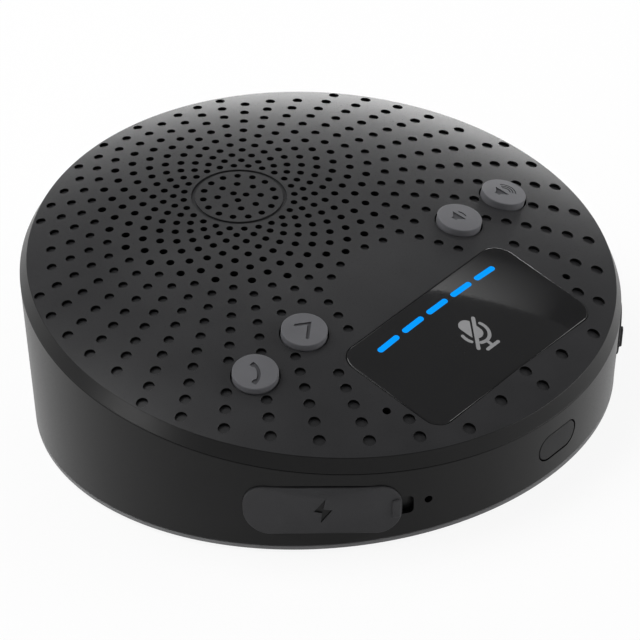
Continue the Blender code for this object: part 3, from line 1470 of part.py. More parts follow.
def build():
    """Make every piece."""
    clear_scene()
    build_top_cover()
    build_touch_panel()
    build_light_guide()
    build_led_board()
    build_buttons()
    build_microphones()
    build_main_housing()
    build_port_covers()
    build_power_button()
    build_power_switch()
    build_base_cover()
    build_trim_and_foot()
    build_screws()
    build_main_board()
    build_usb_socket()
    build_aux_jack()
    build_battery()
    build_speaker()
    build_leads()


build()
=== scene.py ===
"""Looks of the conference speakerphone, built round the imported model.

Metres, +Z up. The table is z = 0, the touch panel faces the front (-Y), and X = 0 is the mirror plane.
"""
import json
import math

import bmesh
import bpy
import numpy as np
from mathutils import Matrix, Vector, kdtree
from mathutils.geometry import delaunay_2d_cdt

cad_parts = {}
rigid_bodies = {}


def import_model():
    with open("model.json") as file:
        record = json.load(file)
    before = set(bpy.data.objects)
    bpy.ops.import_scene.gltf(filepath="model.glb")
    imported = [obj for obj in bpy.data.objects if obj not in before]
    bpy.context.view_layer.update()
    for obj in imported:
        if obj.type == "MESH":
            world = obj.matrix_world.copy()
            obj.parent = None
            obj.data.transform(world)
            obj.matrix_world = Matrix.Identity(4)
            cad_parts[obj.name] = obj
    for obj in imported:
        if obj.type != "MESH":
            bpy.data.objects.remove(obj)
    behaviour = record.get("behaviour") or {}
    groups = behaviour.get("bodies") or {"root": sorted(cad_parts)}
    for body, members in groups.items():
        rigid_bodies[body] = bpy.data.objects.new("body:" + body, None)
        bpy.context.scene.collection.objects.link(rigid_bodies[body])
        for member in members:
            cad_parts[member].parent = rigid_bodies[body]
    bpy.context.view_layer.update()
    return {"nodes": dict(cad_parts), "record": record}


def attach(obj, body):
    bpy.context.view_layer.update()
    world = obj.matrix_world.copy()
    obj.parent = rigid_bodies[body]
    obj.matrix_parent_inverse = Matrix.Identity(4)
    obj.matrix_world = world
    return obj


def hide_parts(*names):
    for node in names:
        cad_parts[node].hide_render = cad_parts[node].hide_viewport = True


# Body: a base circle on the table side, a wider tilted shoulder circle and a domed plate inside it
PLATE_RADIUS = 0.0600
CHAMFER_WIDTH = 0.0013
WALL_TAPER = 0.0016
SHOULDER_RADIUS = PLATE_RADIUS + CHAMFER_WIDTH
SHOULDER_HEIGHT = 0.0268
SHOULDER_DROP = 0.0030
BASE_RADIUS = SHOULDER_RADIUS - WALL_TAPER
BASE_SET_BACK = 0.0016
FOOT_PROUD = 0.0010
PLATE_TILT = math.radians(10.0)
DOME_HEIGHT = 0.0071
DOME_FULLNESS = 0.22
COVER_THICKNESS = 0.0020
WALL_THICKNESS = 0.0022
LIP_DEPTH = 0.0022
LIP_THICKNESS = 0.0015
PARTING_LINE = 0.00005
FIT = 0.0003
EDGE_ROUND = 0.0001
EDGE_HOLD = 0.00013
WALL_ROUND = 0.0003
TRIM_ROUND = 0.0001

# Hole pattern: rings round the speaker, every second ring turned by half a step
SPEAKER_OFFSET = 0.0224
FIRST_RING_RADIUS = 0.01134
RING_PITCH = 0.002075
INNER_RINGS = 25
OUTER_RING_PITCH = 0.00223
SPOKES = 24
HOLE_DIAMETER = 0.00124
HOLE_GROWTH = 0.018
HOLE_ROUND = 0.00003
HOLE_EDGE_MARGIN = 0.00005
GRILLE_RADIUS = 0.0207
DEEP_RADIUS = 0.0300
DEEP_HOLE = 0.0016
DIMPLE_DEPTH = 0.0007
CENTRE_RINGS = ((3, 0.0015), (8, 0.0044), (15, 0.0074))
GROOVE_RADIUS = 0.0094
GROOVE_WIDTH = 0.0008
GROOVE_DEPTH = 0.0004
BARE_HALF_WIDTH = 0.0135
BARE_BACK_EDGE = 0.0092

# Touch panel, its light bars and its symbol
PANEL_WIDTH = 0.0511
PANEL_LENGTH = 0.0259
PANEL_CENTRE = 0.03735
PANEL_CORNER = 0.0040
PANEL_THICKNESS = 0.0012
PANEL_PROUD = 0.0002
PANEL_MARGIN = 0.0015
PANEL_ROUND = 0.0003
PANEL_FIT = 0.00012
WINDOW_WIDTH = 0.0410
WINDOW_BACK = 0.0268
WINDOW_FRONT = 0.0435
WINDOW_CORNER = 0.0010
BAR_COUNT = 5
BAR_LENGTH = 0.0062
BAR_WIDTH = 0.00125
BAR_PITCH = 0.00778
BAR_LINE = 0.02915
BAR_FIT = 0.00004
BAR_STEPS = 6
GUIDE_THICKNESS = 0.0010
GUIDE_MARGIN = 0.0010
SYMBOL_PLACE = 0.0402
SYMBOL_PROUD = 0.00002
SYMBOL_STROKE = 0.00075

# Muted microphone, in millimetres: capsule, cradle (angles in degrees and steps), stem, foot and slash
CAPSULE_WIDTH = 3.35
CAPSULE_HEIGHT = 5.55
CAPSULE_RISE = 2.42
CRADLE_CENTRE = (0.0, 1.35)
CRADLE_RADIUS = 2.95
CRADLE_SWEEPS = ((18.0, -117.0, 22), (162.0, 205.0, 10))
STEM_ENDS = ((0.0, -1.75), (0.0, -2.9))
FOOT_ENDS = ((-1.7, -3.3), (1.7, -3.3))
SLASH_ENDS = ((-3.05, -1.98), (2.93, 4.12))
SLASH_WIDTH = 0.82
SLASH_GAP = 0.42
SLASH_STEPS = 16

# Round buttons
BUTTON_LINE = 0.0152
BUTTON_INNER = 0.0250
BUTTON_OUTER = 0.0400
BUTTON_DIAMETER = 0.0093
BUTTON_PROUD = 0.0013
BUTTON_ROUND = 0.0002
BUTTON_FIT = 0.0003
BUTTON_CROWN = 0.0001
BUTTON_FLANGE = 0.0010
BUTTON_FLANGE_THICKNESS = 0.0008
BUTTON_STEM_DIAMETER = 0.0030
BUTTON_STEM_LENGTH = 0.0018
BUTTON_HOLE_MARGIN = 0.0013
BUTTON_HOLE_ROUND = 0.00005
ENGRAVE_DEPTH = 0.0003

# Engraved symbols, in millimetres, with arcs as (radius, angles, steps)
# and sound waves as (centre, radii, angle, width, steps)
HANDSET_CENTRE = (-2.75, 2.05)
HANDSET_ARCS = (
    (4.40, -1.0, -90.0, 12),
    (3.25, -89.0, -76.0, 3),
    (3.70, -70.0, -21.0, 8),
    (3.25, -15.0, -2.0, 3),
)
CORNER_CUTS = 2
CORNER_CUT = 0.25
ARROW_PATH = ((-0.35, 2.0), (1.92, 0.3), (-1.5, -2.05))
ARROW_WIDTH = 0.7
HORN = ((-1.45, -0.2), (-0.85, -0.2), (0.5, -1.35), (0.5, 2.15), (-0.85, 1.0), (-1.45, 1.0))
QUIET_SHIFT = -0.1
QUIET_WAVES = ((-0.3, 0.3), (1.75,), 30.0, 0.34, 10)
LOUD_SHIFT = -0.55
LOUD_WAVES = ((0.2, 0.07), (1.15, 1.75, 2.35), 57.0, 0.28, 12)

# Microphone pinholes
MIC_HOLE_DIAMETER = 0.0017
MIC_SPREAD = 0.0293
MIC_LINE = 0.0399
SIDE_MIC_ANGLE = math.radians(30.8)
SIDE_MIC_LEVEL = 0.50

# Port covers on the wall, measured from the front centre line and up the wall
PORT_ANGLE = math.radians(51.0)
PORT_LEVEL = 0.48
COVER_LENGTH = 0.0320
COVER_HEIGHT = 0.0119
COVER_CORNER = 0.0050
COVER_ROUND = 0.0003
COVER_FIT = 0.0001
FLAP_THICKNESS = 0.0016
FLAP_PROUD = 0.0005
TAB_LENGTH = 0.0017
TAB_HEIGHT = 0.0045
TAB_PROUD = 0.0005
TAB_INSET = 0.0004
TAB_CORNER = 0.0006
NOTCH_LENGTH = 0.0024
NOTCH_HEIGHT = 0.0043
NOTCH_CORNER = 0.0010
NOTCH_STEPS = 6
PLUG_REACH = 0.0009
BOLT_DEPTH = 0.0003
BOLT_HALF_HEIGHT = 0.0031
BOLT_RAISE = 0.0007
BOLT_SHAPE = ((0.25, 1.0), (-0.54, -0.06), (-0.02, -0.17), (-0.13, -1.0), (0.67, 0.06), (0.07, 0.14))

# Sockets behind the covers
USB_WIDTH = 0.0090
USB_HEIGHT = 0.0033
USB_LENGTH = 0.0073
USB_SHELL = 0.0003
USB_BACK = 0.0012
USB_TONGUE_WIDTH = 0.0066
USB_TONGUE_HEIGHT = 0.0007
USB_TONGUE_LENGTH = 0.0050
JACK_WIDTH = 0.0060
JACK_HEIGHT = 0.0045
JACK_LENGTH = 0.0120
JACK_CORNER = 0.00045
JACK_BORE = 0.0036
JACK_BORE_DEPTH = 0.0110
JACK_COLLAR = 0.0003

# Front power button
POWER_LEVEL = 0.515
POWER_WIDTH = 0.0116
POWER_HEIGHT = 0.0058
POWER_ROUND = 0.00025
POWER_FLANGE = 0.0009
POWER_FLANGE_THICKNESS = 0.0008
POWER_STEM_DIAMETER = 0.0024
POWER_STEM_LENGTH = 0.0020

# Base, foot and screws
BASE_THICKNESS = 0.0024
TRIM_HEIGHT = 0.0006
TRIM_DROP = 0.00028
FOOT_RADIUS = 0.0440
FOOT_WIDTH = 0.0060
FOOT_GROOVE = 0.0008
FOOT_ROUND = 0.0003
FOOT_RIB_COUNT = 5
FOOT_RIB_DEPTH = 0.00015
POSTS = ((math.radians(45.4), 0.0527), (math.radians(-70.3), 0.0505))
SCREW_HEAD_DIAMETER = 0.0050
SCREW_HEAD_HEIGHT = 0.0010
SCREW_HEAD_ROUND = 0.0003
SCREW_SHANK_DIAMETER = 0.0026
SCREW_LENGTH = 0.0090
CROSS_REACH = 0.0013
CROSS_HALF_WIDTH = 0.00032
CROSS_DEPTH = 0.0007
COUNTERBORE_DEPTH = 0.0014

# Meshing
SIDES = (-1, 1)
MILLIMETRE = 0.001
RIM_SEGMENTS = 192
HOLE_SEGMENTS = 18
LOOP_SEGMENTS = 56
SCREW_SEGMENTS = 32
CORNER_STEPS = 10
ROUND_STEPS = 4
CAP_STEPS = 5
LARGEST_CORNER = 0.9998
MITRE_LIMIT = 0.35
PLATE_SPACING = 0.0028
WALL_SPACING = 0.0040
MERGE = 2e-7
NUDGE = 0.00002
TRIANGLES_INSIDE = 1
TRIANGLE_TOLERANCE = 1e-6
SMOOTH_ANGLE = math.radians(40.0)
FRONT = math.radians(270.0)
BACK = math.radians(90.0)
NORMAL_LAYER = "drawn_normal"
# Slots of the top shell: the plate, the hole bores with painted shade, and the chamfer rim with painted
# shade
PLATE_FACE, BORE, RIM = 0, 1, 2

# Surface grain
NOISE_LOW = 0.3
NOISE_HIGH = 0.7
CLOUD_SCALE = 90.0
CLOUD_DETAIL = 4.0
BUMP_DISTANCE = 0.0001
ROUGHNESS_SPREAD = 0.05
LINE_SCALE = 400.0
LINE_DETAIL = 3.0
WAVE_RATE = 20.0
TRACE_SCALE = 350.0
TRACE_EDGE = 0.04
TRACE_END = 0.09
GLOW_SCALE = 300.0
UNLIT_SHARE = 0.02
WHITE = (1.0, 1.0, 1.0, 1.0)

# Camera
CAMERA_PLACE = Vector((-0.69054, -0.61419, 0.60120))
CAMERA_FORWARD = Vector((0.6310, 0.5624, -0.5344))
CAMERA_UP = Vector((0.4539, 0.2910, 0.8422))
CAMERA_LENS = 300.9
SENSOR_WIDTH = 36.0
CLIP_START = 0.05
CLIP_END = 20.0

# Stage, with lamps as name, azimuth, elevation, width, height and power
FLOOR_SIZE = 4.0
FLOOR_DROP = 0.00002
FLOOR_COLOUR = (0.86, 0.86, 0.86)
FLOOR_WHITE_SHARE = 0.9
FIBRE_SCALE = 60.0
FIBRE_DETAIL = 3.0
SKY_LEVEL = 0.25
HORIZON_LEVEL = 0.9
HORIZON_HEIGHT = 0.2
LAMP_DISTANCE = 1.4
LAMPS = (
    ("back_softbox", 45.0, 9.0, 1.5, 0.3, 13.0),
    ("left_softbox", 120.0, 60.0, 1.0, 1.0, 14.0),
    ("right_softbox", -48.0, 18.0, 1.0, 0.6, 10.0),
    ("edge_softbox", 155.0, 9.0, 0.5, 0.35, 3.5),
)
CARD_AZIMUTH = 22.0
CARD_ELEVATION = 36.0
CARD_WIDTH = 1.0
CARD_HEIGHT = 0.58
CARD_LEAN = math.radians(15.6)
CARD_COLOUR = (0.05, 0.05, 0.05, 1.0)
CARD_GLOW = 7.0
CARD_FADE = (-0.3, 0.2)
CARD_EDGE = 0.5


# Plane outlines


def round_points(centre, radius, angles):
    """Points of a circle at some angles."""
    return [(centre[0] + radius * math.cos(a), centre[1] + radius * math.sin(a)) for a in angles]


def circle(radius, count, centre=(0.0, 0.0), turn=0.0):
    """Points round a circle, counter-clockwise."""
    return round_points(centre, radius, [turn + 2.0 * math.pi * i / count for i in range(count)])


def arc(centre, radius, start, end, count):
    """Points along part of a circle, angles in degrees."""
    angles = [math.radians(start + (end - start) * i / count) for i in range(count + 1)]
    return round_points(centre, radius, angles)


def rounded_rectangle(width, height, corner, centre=(0.0, 0.0), grow=0.0, steps=CORNER_STEPS):
    """Rectangle with round corners, grown all round, counter-clockwise from its lower right corner."""
    half = (0.5 * width + grow, 0.5 * height + grow)
    corner = min(corner + grow, LARGEST_CORNER * half[0], LARGEST_CORNER * half[1])
    points = []
    for i, (sx, sy) in enumerate(((1, -1), (1, 1), (-1, 1), (-1, -1))):
        middle = (centre[0] + sx * (half[0] - corner), centre[1] + sy * (half[1] - corner))
        points += arc(middle, corner, 90.0 * (i - 1), 90.0 * i, steps)
    return points


def neighbours(loop):
    """Each point of a loop with the next one."""
    return zip(loop, loop[1:] + loop[:1])


def counter_clockwise(loop):
    """The loop in counter-clockwise order."""
    area = sum(a[0] * b[1] - b[0] * a[1] for a, b in neighbours(loop))
    return loop if area > 0.0 else loop[::-1]


def inside(point, loop):
    """True where the point lies inside the loop."""
    x, y = point
    odd = False
    for (ax, ay), (bx, by) in neighbours(loop):
        if (ay > y) != (by > y) and x < ax + (y - ay) * (bx - ax) / (by - ay):
            odd = not odd
    return odd


def in_metres(loop, place=(0.0, 0.0)):
    """A loop drawn in millimetres, round a place in metres."""
    return [(x * MILLIMETRE + place[0], y * MILLIMETRE + place[1]) for x, y in loop]


def clipped(loop, origin, normal):
    """The part of a convex loop on the side of a line that its normal points to."""
    kept = []
    for a, b in neighbours(loop):
        da = (a[0] - origin[0]) * normal[0] + (a[1] - origin[1]) * normal[1]
        db = (b[0] - origin[0]) * normal[0] + (b[1] - origin[1]) * normal[1]
        if da >= 0.0:
            kept.append(a)
        if da * db < 0.0:
            t = da / (da - db)
            kept.append((a[0] + t * (b[0] - a[0]), a[1] + t * (b[1] - a[1])))
    return kept


def stroke(path, width):
    """Outline of a line of one width along a path, with round ends."""
    half = 0.5 * width
    points = [Vector(p) for p in path]
    last = len(points) - 1
    left = []
    right = []
    for i, point in enumerate(points):
        before = (point - points[max(i - 1, 0)]).normalized()
        after = (points[min(i + 1, last)] - point).normalized()
        before = before if i else after
        after = after if i < last else before
        side = Vector((-(before.y + after.y), before.x + after.x)).normalized()
        reach = half / max(MITRE_LIMIT, side.dot(Vector((-after.y, after.x))))
        left.append(point + side * reach)
        right.append(point - side * reach)
    loop = right + cap_points(points[-1], points[-2], half)
    loop += left[::-1] + cap_points(points[0], points[1], half)
    return counter_clockwise([(p.x, p.y) for p in loop])


def cap_points(end, before, half):
    """Points of a round end, between the two sides of a line."""
    along = (end - before).normalized()
    side = Vector((along.y, -along.x))
    angles = [math.pi * i / CAP_STEPS for i in range(1, CAP_STEPS)]
    return [end + (side * math.cos(a) + along * math.sin(a)) * half for a in angles]


def smooth(loop):
    """The loop with its corners cut."""
    keep = 1.0 - CORNER_CUT
    for _ in range(CORNER_CUTS):
        cut = []
        for a, b in neighbours(loop):
            cut.append((keep * a[0] + CORNER_CUT * b[0], keep * a[1] + CORNER_CUT * b[1]))
            cut.append((CORNER_CUT * a[0] + keep * b[0], CORNER_CUT * a[1] + keep * b[1]))
        loop = cut
    return loop


# Surfaces that the pieces lie on


def seat_at(origin, z_axis, x_hint):
    """World matrix with its Z along z_axis and its X nearest to x_hint."""
    z = Vector(z_axis).normalized()
    x = (Vector(x_hint) - z * Vector(x_hint).dot(z)).normalized()
    matrix = Matrix((x, z.cross(x), z)).transposed().to_4x4()
    matrix.translation = origin
    return matrix


def on_seat(seat):
    """Place function of a seat: the third value runs along its Z."""
    def place(x, y, height):
        return seat @ Vector((x, y, height))

    return place


def plate_frame():
    """Frame of the plate: Z is its normal, Y runs uphill to the back, origin at the edge circle's centre."""
    normal = Vector((0.0, -math.sin(PLATE_TILT), math.cos(PLATE_TILT)))
    return seat_at(Vector((0.0, 0.0, SHOULDER_HEIGHT)) + normal * SHOULDER_DROP, normal, (1.0, 0.0, 0.0))


PLATE = plate_frame()


def dome_height(x, y):
    """Height of the domed plate over its edge plane."""
    q = (x * x + y * y) / PLATE_RADIUS ** 2
    return DOME_HEIGHT * (1.0 - q) * (1.0 + DOME_FULLNESS * q)


def dome_normal(x, y):
    """Normal of the domed plate, in the plate's frame."""
    q = (x * x + y * y) / PLATE_RADIUS ** 2
    fall = 2.0 * DOME_HEIGHT * (1.0 - DOME_FULLNESS + 2.0 * DOME_FULLNESS * q) / PLATE_RADIUS ** 2
    return Vector((fall * x, fall * y, 1.0)).normalized()


def dome_point(x, y, depth):
    """World point at a depth under the outer face of the dome."""
    return PLATE @ (Vector((x, y, dome_height(x, y))) - dome_normal(x, y) * depth)


def dome_seat(x, y):
    """Frame on the outer face of the dome, Z along its normal."""
    return seat_at(dome_point(x, y, 0.0), PLATE.to_3x3() @ dome_normal(x, y), (1.0, 0.0, 0.0))


def panel_place(x, y, depth):
    """World point at a depth under the panel's face."""
    return dome_point(x, y, depth - PANEL_PROUD)


def base_place(x, y, depth):
    """Place for the base cover: its outer face is underneath."""
    return Vector((x, y, FOOT_PROUD + depth))


def base_point(angle):
    """Point of the base circle."""
    return Vector((BASE_RADIUS * math.cos(angle), BASE_SET_BACK + BASE_RADIUS * math.sin(angle), FOOT_PROUD))


def shoulder_point(angle):
    """Point of the tilted shoulder circle, under the chamfer."""
    x = SHOULDER_RADIUS * math.cos(angle)
    y = SHOULDER_RADIUS * math.sin(angle)
    return PLATE @ Vector((x, y, -SHOULDER_DROP))


def wall_length(angle):
    """Length of the wall from the base circle to the shoulder circle."""
    return (shoulder_point(angle) - base_point(angle)).length


def wall_point(angle, level, depth):
    """World point on the wall: level 0 at the base, 1 at the shoulder, depth inward from its outer face."""
    inward = Vector((-math.cos(angle), -math.sin(angle), 0.0))
    return base_point(angle).lerp(shoulder_point(angle), level) + inward * depth


def unroll(angle, level):
    """Flat layout of a wall point: u is the way round from the back, v the way up."""
    return (SHOULDER_RADIUS * (angle - BACK), SHOULDER_HEIGHT * level)


def wall_place(u, v, depth):
    """World point of a flat layout point."""
    return wall_point(BACK + u / SHOULDER_RADIUS, v / SHOULDER_HEIGHT, depth)


def flap_place(u, v, depth):
    """World point at a depth under the outer face of a port cover."""
    return wall_place(u, v, depth - FLAP_PROUD)


def on_wall(loop, angle, level, side=-1):
    """Flat layout of an outline in metres round (angle, level); its +X runs to the front on either side."""
    points = []
    for along, up in loop:
        a = angle - side * along / SHOULDER_RADIUS
        points.append(unroll(a, level + up / wall_length(a)))
    return counter_clockwise(points)


def port_angle(side):
    """Angle of a port on the wall."""
    return FRONT + side * PORT_ANGLE


def on_port(loop, side):
    """Flat layout of an outline round the middle of a port."""
    return on_wall(loop, port_angle(side), PORT_LEVEL, side)


# Mesh builders


def surface_normal(place, u, v, depth):
    """Normal of a surface at a layout point."""
    across = place(u + NUDGE, v, depth) - place(u - NUDGE, v, depth)
    along = place(u, v + NUDGE, depth) - place(u, v - NUDGE, depth)
    return across.cross(along).normalized()


def filler(outline, holes, spacing):
    """Grid points inside the outline and clear of every loop, so that a curved face keeps its shape."""
    corners = [p for loop in [outline] + list(holes) for p in loop]
    tree = kdtree.KDTree(len(corners))
    for i, (u, v) in enumerate(corners):
        tree.insert((u, v, 0.0), i)
    tree.balance()
    wide = [loop for loop in holes if max(p[0] for p in loop) - min(p[0] for p in loop) > spacing]
    low = [min(p[k] for p in outline) for k in (0, 1)]
    high = [max(p[k] for p in outline) for k in (0, 1)]
    points = []
    for i in range(int((high[0] - low[0]) / spacing)):
        for j in range(int((high[1] - low[1]) / spacing)):
            point = (low[0] + (i + 0.5) * spacing, low[1] + (j + 0.5) * spacing)
            if tree.find((*point, 0.0))[2] < 0.5 * spacing:
                continue
            if inside(point, outline) and not any(inside(point, loop) for loop in wide):
                points.append(point)
    return points


def skin(bm, place, depth, outline, holes=(), spacing=None, slot=0):
    """Triangles of one face of a sheet, with its holes left open and its true normals noted."""
    points = list(outline)
    polygons = [list(range(len(points)))]
    for hole in holes:
        polygons.append(list(range(len(points), len(points) + len(hole))))
        points.extend(hole)
    if spacing:
        points.extend(filler(outline, holes, spacing))
    flat = [Vector((u / MILLIMETRE, v / MILLIMETRE)) for u, v in points]
    found, _, faces, _, _, owners = delaunay_2d_cdt(flat, [], polygons, TRIANGLES_INSIDE, TRIANGLE_TOLERANCE)
    spots = [(p.x * MILLIMETRE, p.y * MILLIMETRE) for p in found]
    verts = [bm.verts.new(place(u, v, depth)) for u, v in spots]
    normals = [surface_normal(place, u, v, depth) for u, v in spots]
    layer = bm.loops.layers.float_vector.get(NORMAL_LAYER) or bm.loops.layers.float_vector.new(NORMAL_LAYER)
    for face, owner in zip(faces, owners):
        if list(owner) == [0]:
            made = bm.faces.new([verts[i] for i in face])
            made.material_index = slot
            for corner, i in zip(made.loops, face):
                corner[layer] = normals[i]


def strips(bm, rows, slot=0, closed=True):
    """Quads between neighbouring rows of points."""
    made = [[bm.verts.new(p) for p in row] for row in rows]
    for a, b in zip(made, made[1:]):
        for i in range(len(a) if closed else len(a) - 1):
            j = (i + 1) % len(a)
            bm.faces.new((a[i], a[j], b[j], b[i])).material_index = slot


def cap(bm, row, slot=0):
    """One face over a row of points."""
    bm.faces.new([bm.verts.new(p) for p in row]).material_index = slot


def placed(place, loop, depth):
    """World points of a flat loop at one depth."""
    return [place(u, v, depth) for u, v in loop]


def sides(bm, place, steps, slot=0):
    """Sides that run through steps of a flat loop and a depth."""
    strips(bm, [placed(place, loop, depth) for loop, depth in steps], slot)


def tube(bm, place, loop, start, end, slot=0):
    """Sides of one flat loop between two depths."""
    sides(bm, place, ((loop, start), (loop, end)), slot)


def sink_groove(bm, place, loops, depth):
    """Sides and floor of a groove between two loops."""
    outer, inner = loops
    sides(bm, place, ((outer, 0.0), (outer, depth), (inner, depth), (inner, 0.0)))


def lathe(place, profile, segments):
    """Rows of points round the middle of a seat, from (radius, height) points."""
    return [placed(place, circle(r, segments), h) for r, h in profile]


def quarter(radius):
    """Insets and depths of a rounded edge, from the face to the side."""
    angles = [0.5 * math.pi * i / ROUND_STEPS for i in range(ROUND_STEPS + 1)]
    return [(radius * (1.0 - math.sin(a)), radius * (1.0 - math.cos(a))) for a in angles]


def rounded_sides(bm, place, outline, radius, end, lift=0.0):
    """Sides from a rounded edge to a depth, where the outline is a function of its growth."""
    steps = [(outline(-inset), depth - lift) for inset, depth in quarter(radius)]
    sides(bm, place, steps + [(outline(0.0), end)])


def draw_normals(mesh):
    """Use the noted normals on the faces that have them, and leave the rest as shaded."""
    layer = mesh.attributes.get(NORMAL_LAYER)
    if layer is None:
        return
    wanted = np.zeros(3 * len(mesh.loops), np.float32)
    layer.data.foreach_get("vector", wanted)
    wanted = wanted.reshape(-1, 3)
    facing = np.zeros(3 * len(mesh.polygons), np.float32)
    mesh.polygons.foreach_get("normal", facing)
    corners = np.zeros(len(mesh.polygons), np.int32)
    mesh.polygons.foreach_get("loop_total", corners)
    facing = np.repeat(facing.reshape(-1, 3), corners, axis=0)
    wanted = wanted * np.sign(np.sum(wanted * facing, axis=1))[:, None]
    mesh.attributes.remove(layer)
    mesh.normals_split_custom_set(wanted.tolist())


def new_mesh(name, bm):
    """Mesh made from the working mesh, which is freed."""
    mesh = bpy.data.meshes.new(name)
    bm.to_mesh(mesh)
    bm.free()
    return mesh


def new_object(name, data):
    """Object in the scene."""
    made = bpy.data.objects.new(name, data)
    bpy.context.scene.collection.objects.link(made)
    return made


def add_piece(name, bm, materials, body, replaced=()):
    """Make the object, let it ride on its body, and hide the parts that it stands for."""
    bmesh.ops.remove_doubles(bm, verts=bm.verts, dist=MERGE)
    bmesh.ops.recalc_face_normals(bm, faces=bm.faces)
    mesh = new_mesh(name, bm)
    mesh.shade_smooth()
    mesh.set_sharp_from_angle(angle=SMOOTH_ANGLE)
    draw_normals(mesh)
    for material in materials:
        mesh.materials.append(material)
    piece = new_object(name, mesh)
    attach(piece, body)
    if replaced:
        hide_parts(*replaced)


# Materials


def feed(tree, node, values):
    """Set a node's inputs, or link them where the value is another node's output."""
    for key, value in values.items():
        if isinstance(value, bpy.types.NodeSocket):
            tree.links.new(value, node.inputs[key])
        else:
            node.inputs[key].default_value = value


def add_node(tree, kind, output, values, **settings):
    """Add a shader node and return one of its outputs."""
    node = tree.nodes.new("ShaderNode" + kind)
    for key, value in settings.items():
        setattr(node, key, value)
    feed(tree, node, values)
    return node.outputs[output]


def new_material(name):
    """A material and its node tree."""
    material = bpy.data.materials.new(name)
    material.use_nodes = True
    return material, material.node_tree


def dress(tree, values):
    """Set or link the inputs of a material's Principled shader."""
    feed(tree, tree.nodes["Principled BSDF"], values)


def object_coords(tree):
    """Coordinates in the object's own metres."""
    return add_node(tree, "TexCoord", "Object", {})


def noise(tree, scale, detail=2.0, stretch=(1.0, 1.0, 1.0)):
    """Noise in the object's own metres."""
    coords = add_node(tree, "Mapping", "Vector", {"Scale": stretch, "Vector": object_coords(tree)})
    return add_node(tree, "TexNoise", "Fac", {"Scale": scale, "Detail": detail, "Vector": coords})


def ranged(tree, value, low, high):
    """A noise value spread between two limits."""
    limits = {"From Min": NOISE_LOW, "From Max": NOISE_HIGH, "To Min": low, "To Max": high}
    return add_node(tree, "MapRange", "Result", {"Value": value, **limits})


def ramp(tree, value, *stops):
    """Colour that runs between two stops, each a place and a colour."""
    socket = add_node(tree, "ValToRGB", "Color", {"Fac": value})
    for element, (place, colour) in zip(socket.node.color_ramp.elements, stops):
        element.position = place
        element.color = (*colour, 1.0)
    return socket


def mottled(tree, value, colour, share):
    """Colour that varies a little round its mean."""
    dark = [c * (1.0 - share) for c in colour]
    pale = [c * (1.0 + share) for c in colour]
    return ramp(tree, value, (NOISE_LOW, dark), (NOISE_HIGH, pale))


def bumped(tree, height, strength):
    """Normal of a surface that a value raises."""
    values = {"Height": height, "Strength": strength, "Distance": BUMP_DISTANCE}
    return add_node(tree, "Bump", "Normal", values)


def math_node(tree, operation, first, second):
    """Two values put together."""
    return add_node(tree, "Math", "Value", {0: first, 1: second}, operation=operation)


def moulded(name, colour, roughness, specular, grain=5000.0, bump=0.10, mottle=0.10):
    """Moulded plastic or rubber: fine grain in the surface, faint cloudiness in colour and sheen."""
    material, tree = new_material(name)
    cloud = noise(tree, CLOUD_SCALE, CLOUD_DETAIL)
    fine = noise(tree, grain)
    dress(tree, {
        "Base Color": mottled(tree, cloud, colour, mottle),
        "Roughness": ranged(tree, fine, roughness - ROUGHNESS_SPREAD, roughness + ROUGHNESS_SPREAD),
        "Normal": bumped(tree, fine, bump),
        "Specular IOR Level": specular,
    })
    return material


def metal(name, colour, roughness, stretch):
    """Plated or ground metal with fine lines."""
    material, tree = new_material(name)
    lines = noise(tree, LINE_SCALE, LINE_DETAIL, (1.0, 1.0, stretch))
    dress(tree, {
        "Base Color": mottled(tree, lines, colour, share=0.08),
        "Roughness": ranged(tree, lines, low=roughness - 0.06, high=roughness + 0.08),
        "Normal": bumped(tree, lines, strength=0.05),
        "Metallic": 1.0,
    })
    return material


def woven(name, colour, pitch):
    """Woven cloth or pressed fibre: two crossing sets of threads."""
    material, tree = new_material(name)
    values = {"Scale": 2.0 * math.pi / (WAVE_RATE * pitch), "Distortion": 1.0, "Vector": object_coords(tree)}
    threads = [add_node(tree, "TexWave", "Fac", values, bands_direction=axis) for axis in "XY"]
    weave = math_node(tree, "MULTIPLY", *threads)
    dress(tree, {
        "Base Color": mottled(tree, weave, colour, share=0.35),
        "Normal": bumped(tree, weave, strength=0.5),
        "Roughness": 0.9,
        "Specular IOR Level": 0.1,
    })
    return material


def circuit(name, colour, copper):
    """Circuit board: solder mask over traces that show as paler lines."""
    material, tree = new_material(name)
    values = {"Scale": TRACE_SCALE, "Vector": object_coords(tree)}
    traces = add_node(tree, "TexVoronoi", "Distance", values, feature="DISTANCE_TO_EDGE")
    dress(tree, {
        "Base Color": ramp(tree, traces, (TRACE_EDGE, copper), (TRACE_END, colour)),
        "Roughness": 0.35,
    })
    return material


def lit(name, colour, strength):
    """Lit plastic: even glow with a faint variation of tint."""
    material, tree = new_material(name)
    dress(tree, {
        "Base Color": mottled(tree, noise(tree, GLOW_SCALE), [UNLIT_SHARE * c for c in colour], share=0.2),
        "Emission Color": (*colour, 1.0),
        "Emission Strength": strength,
        "Roughness": 0.5,
        "Specular IOR Level": 0.0,
    })
    return material


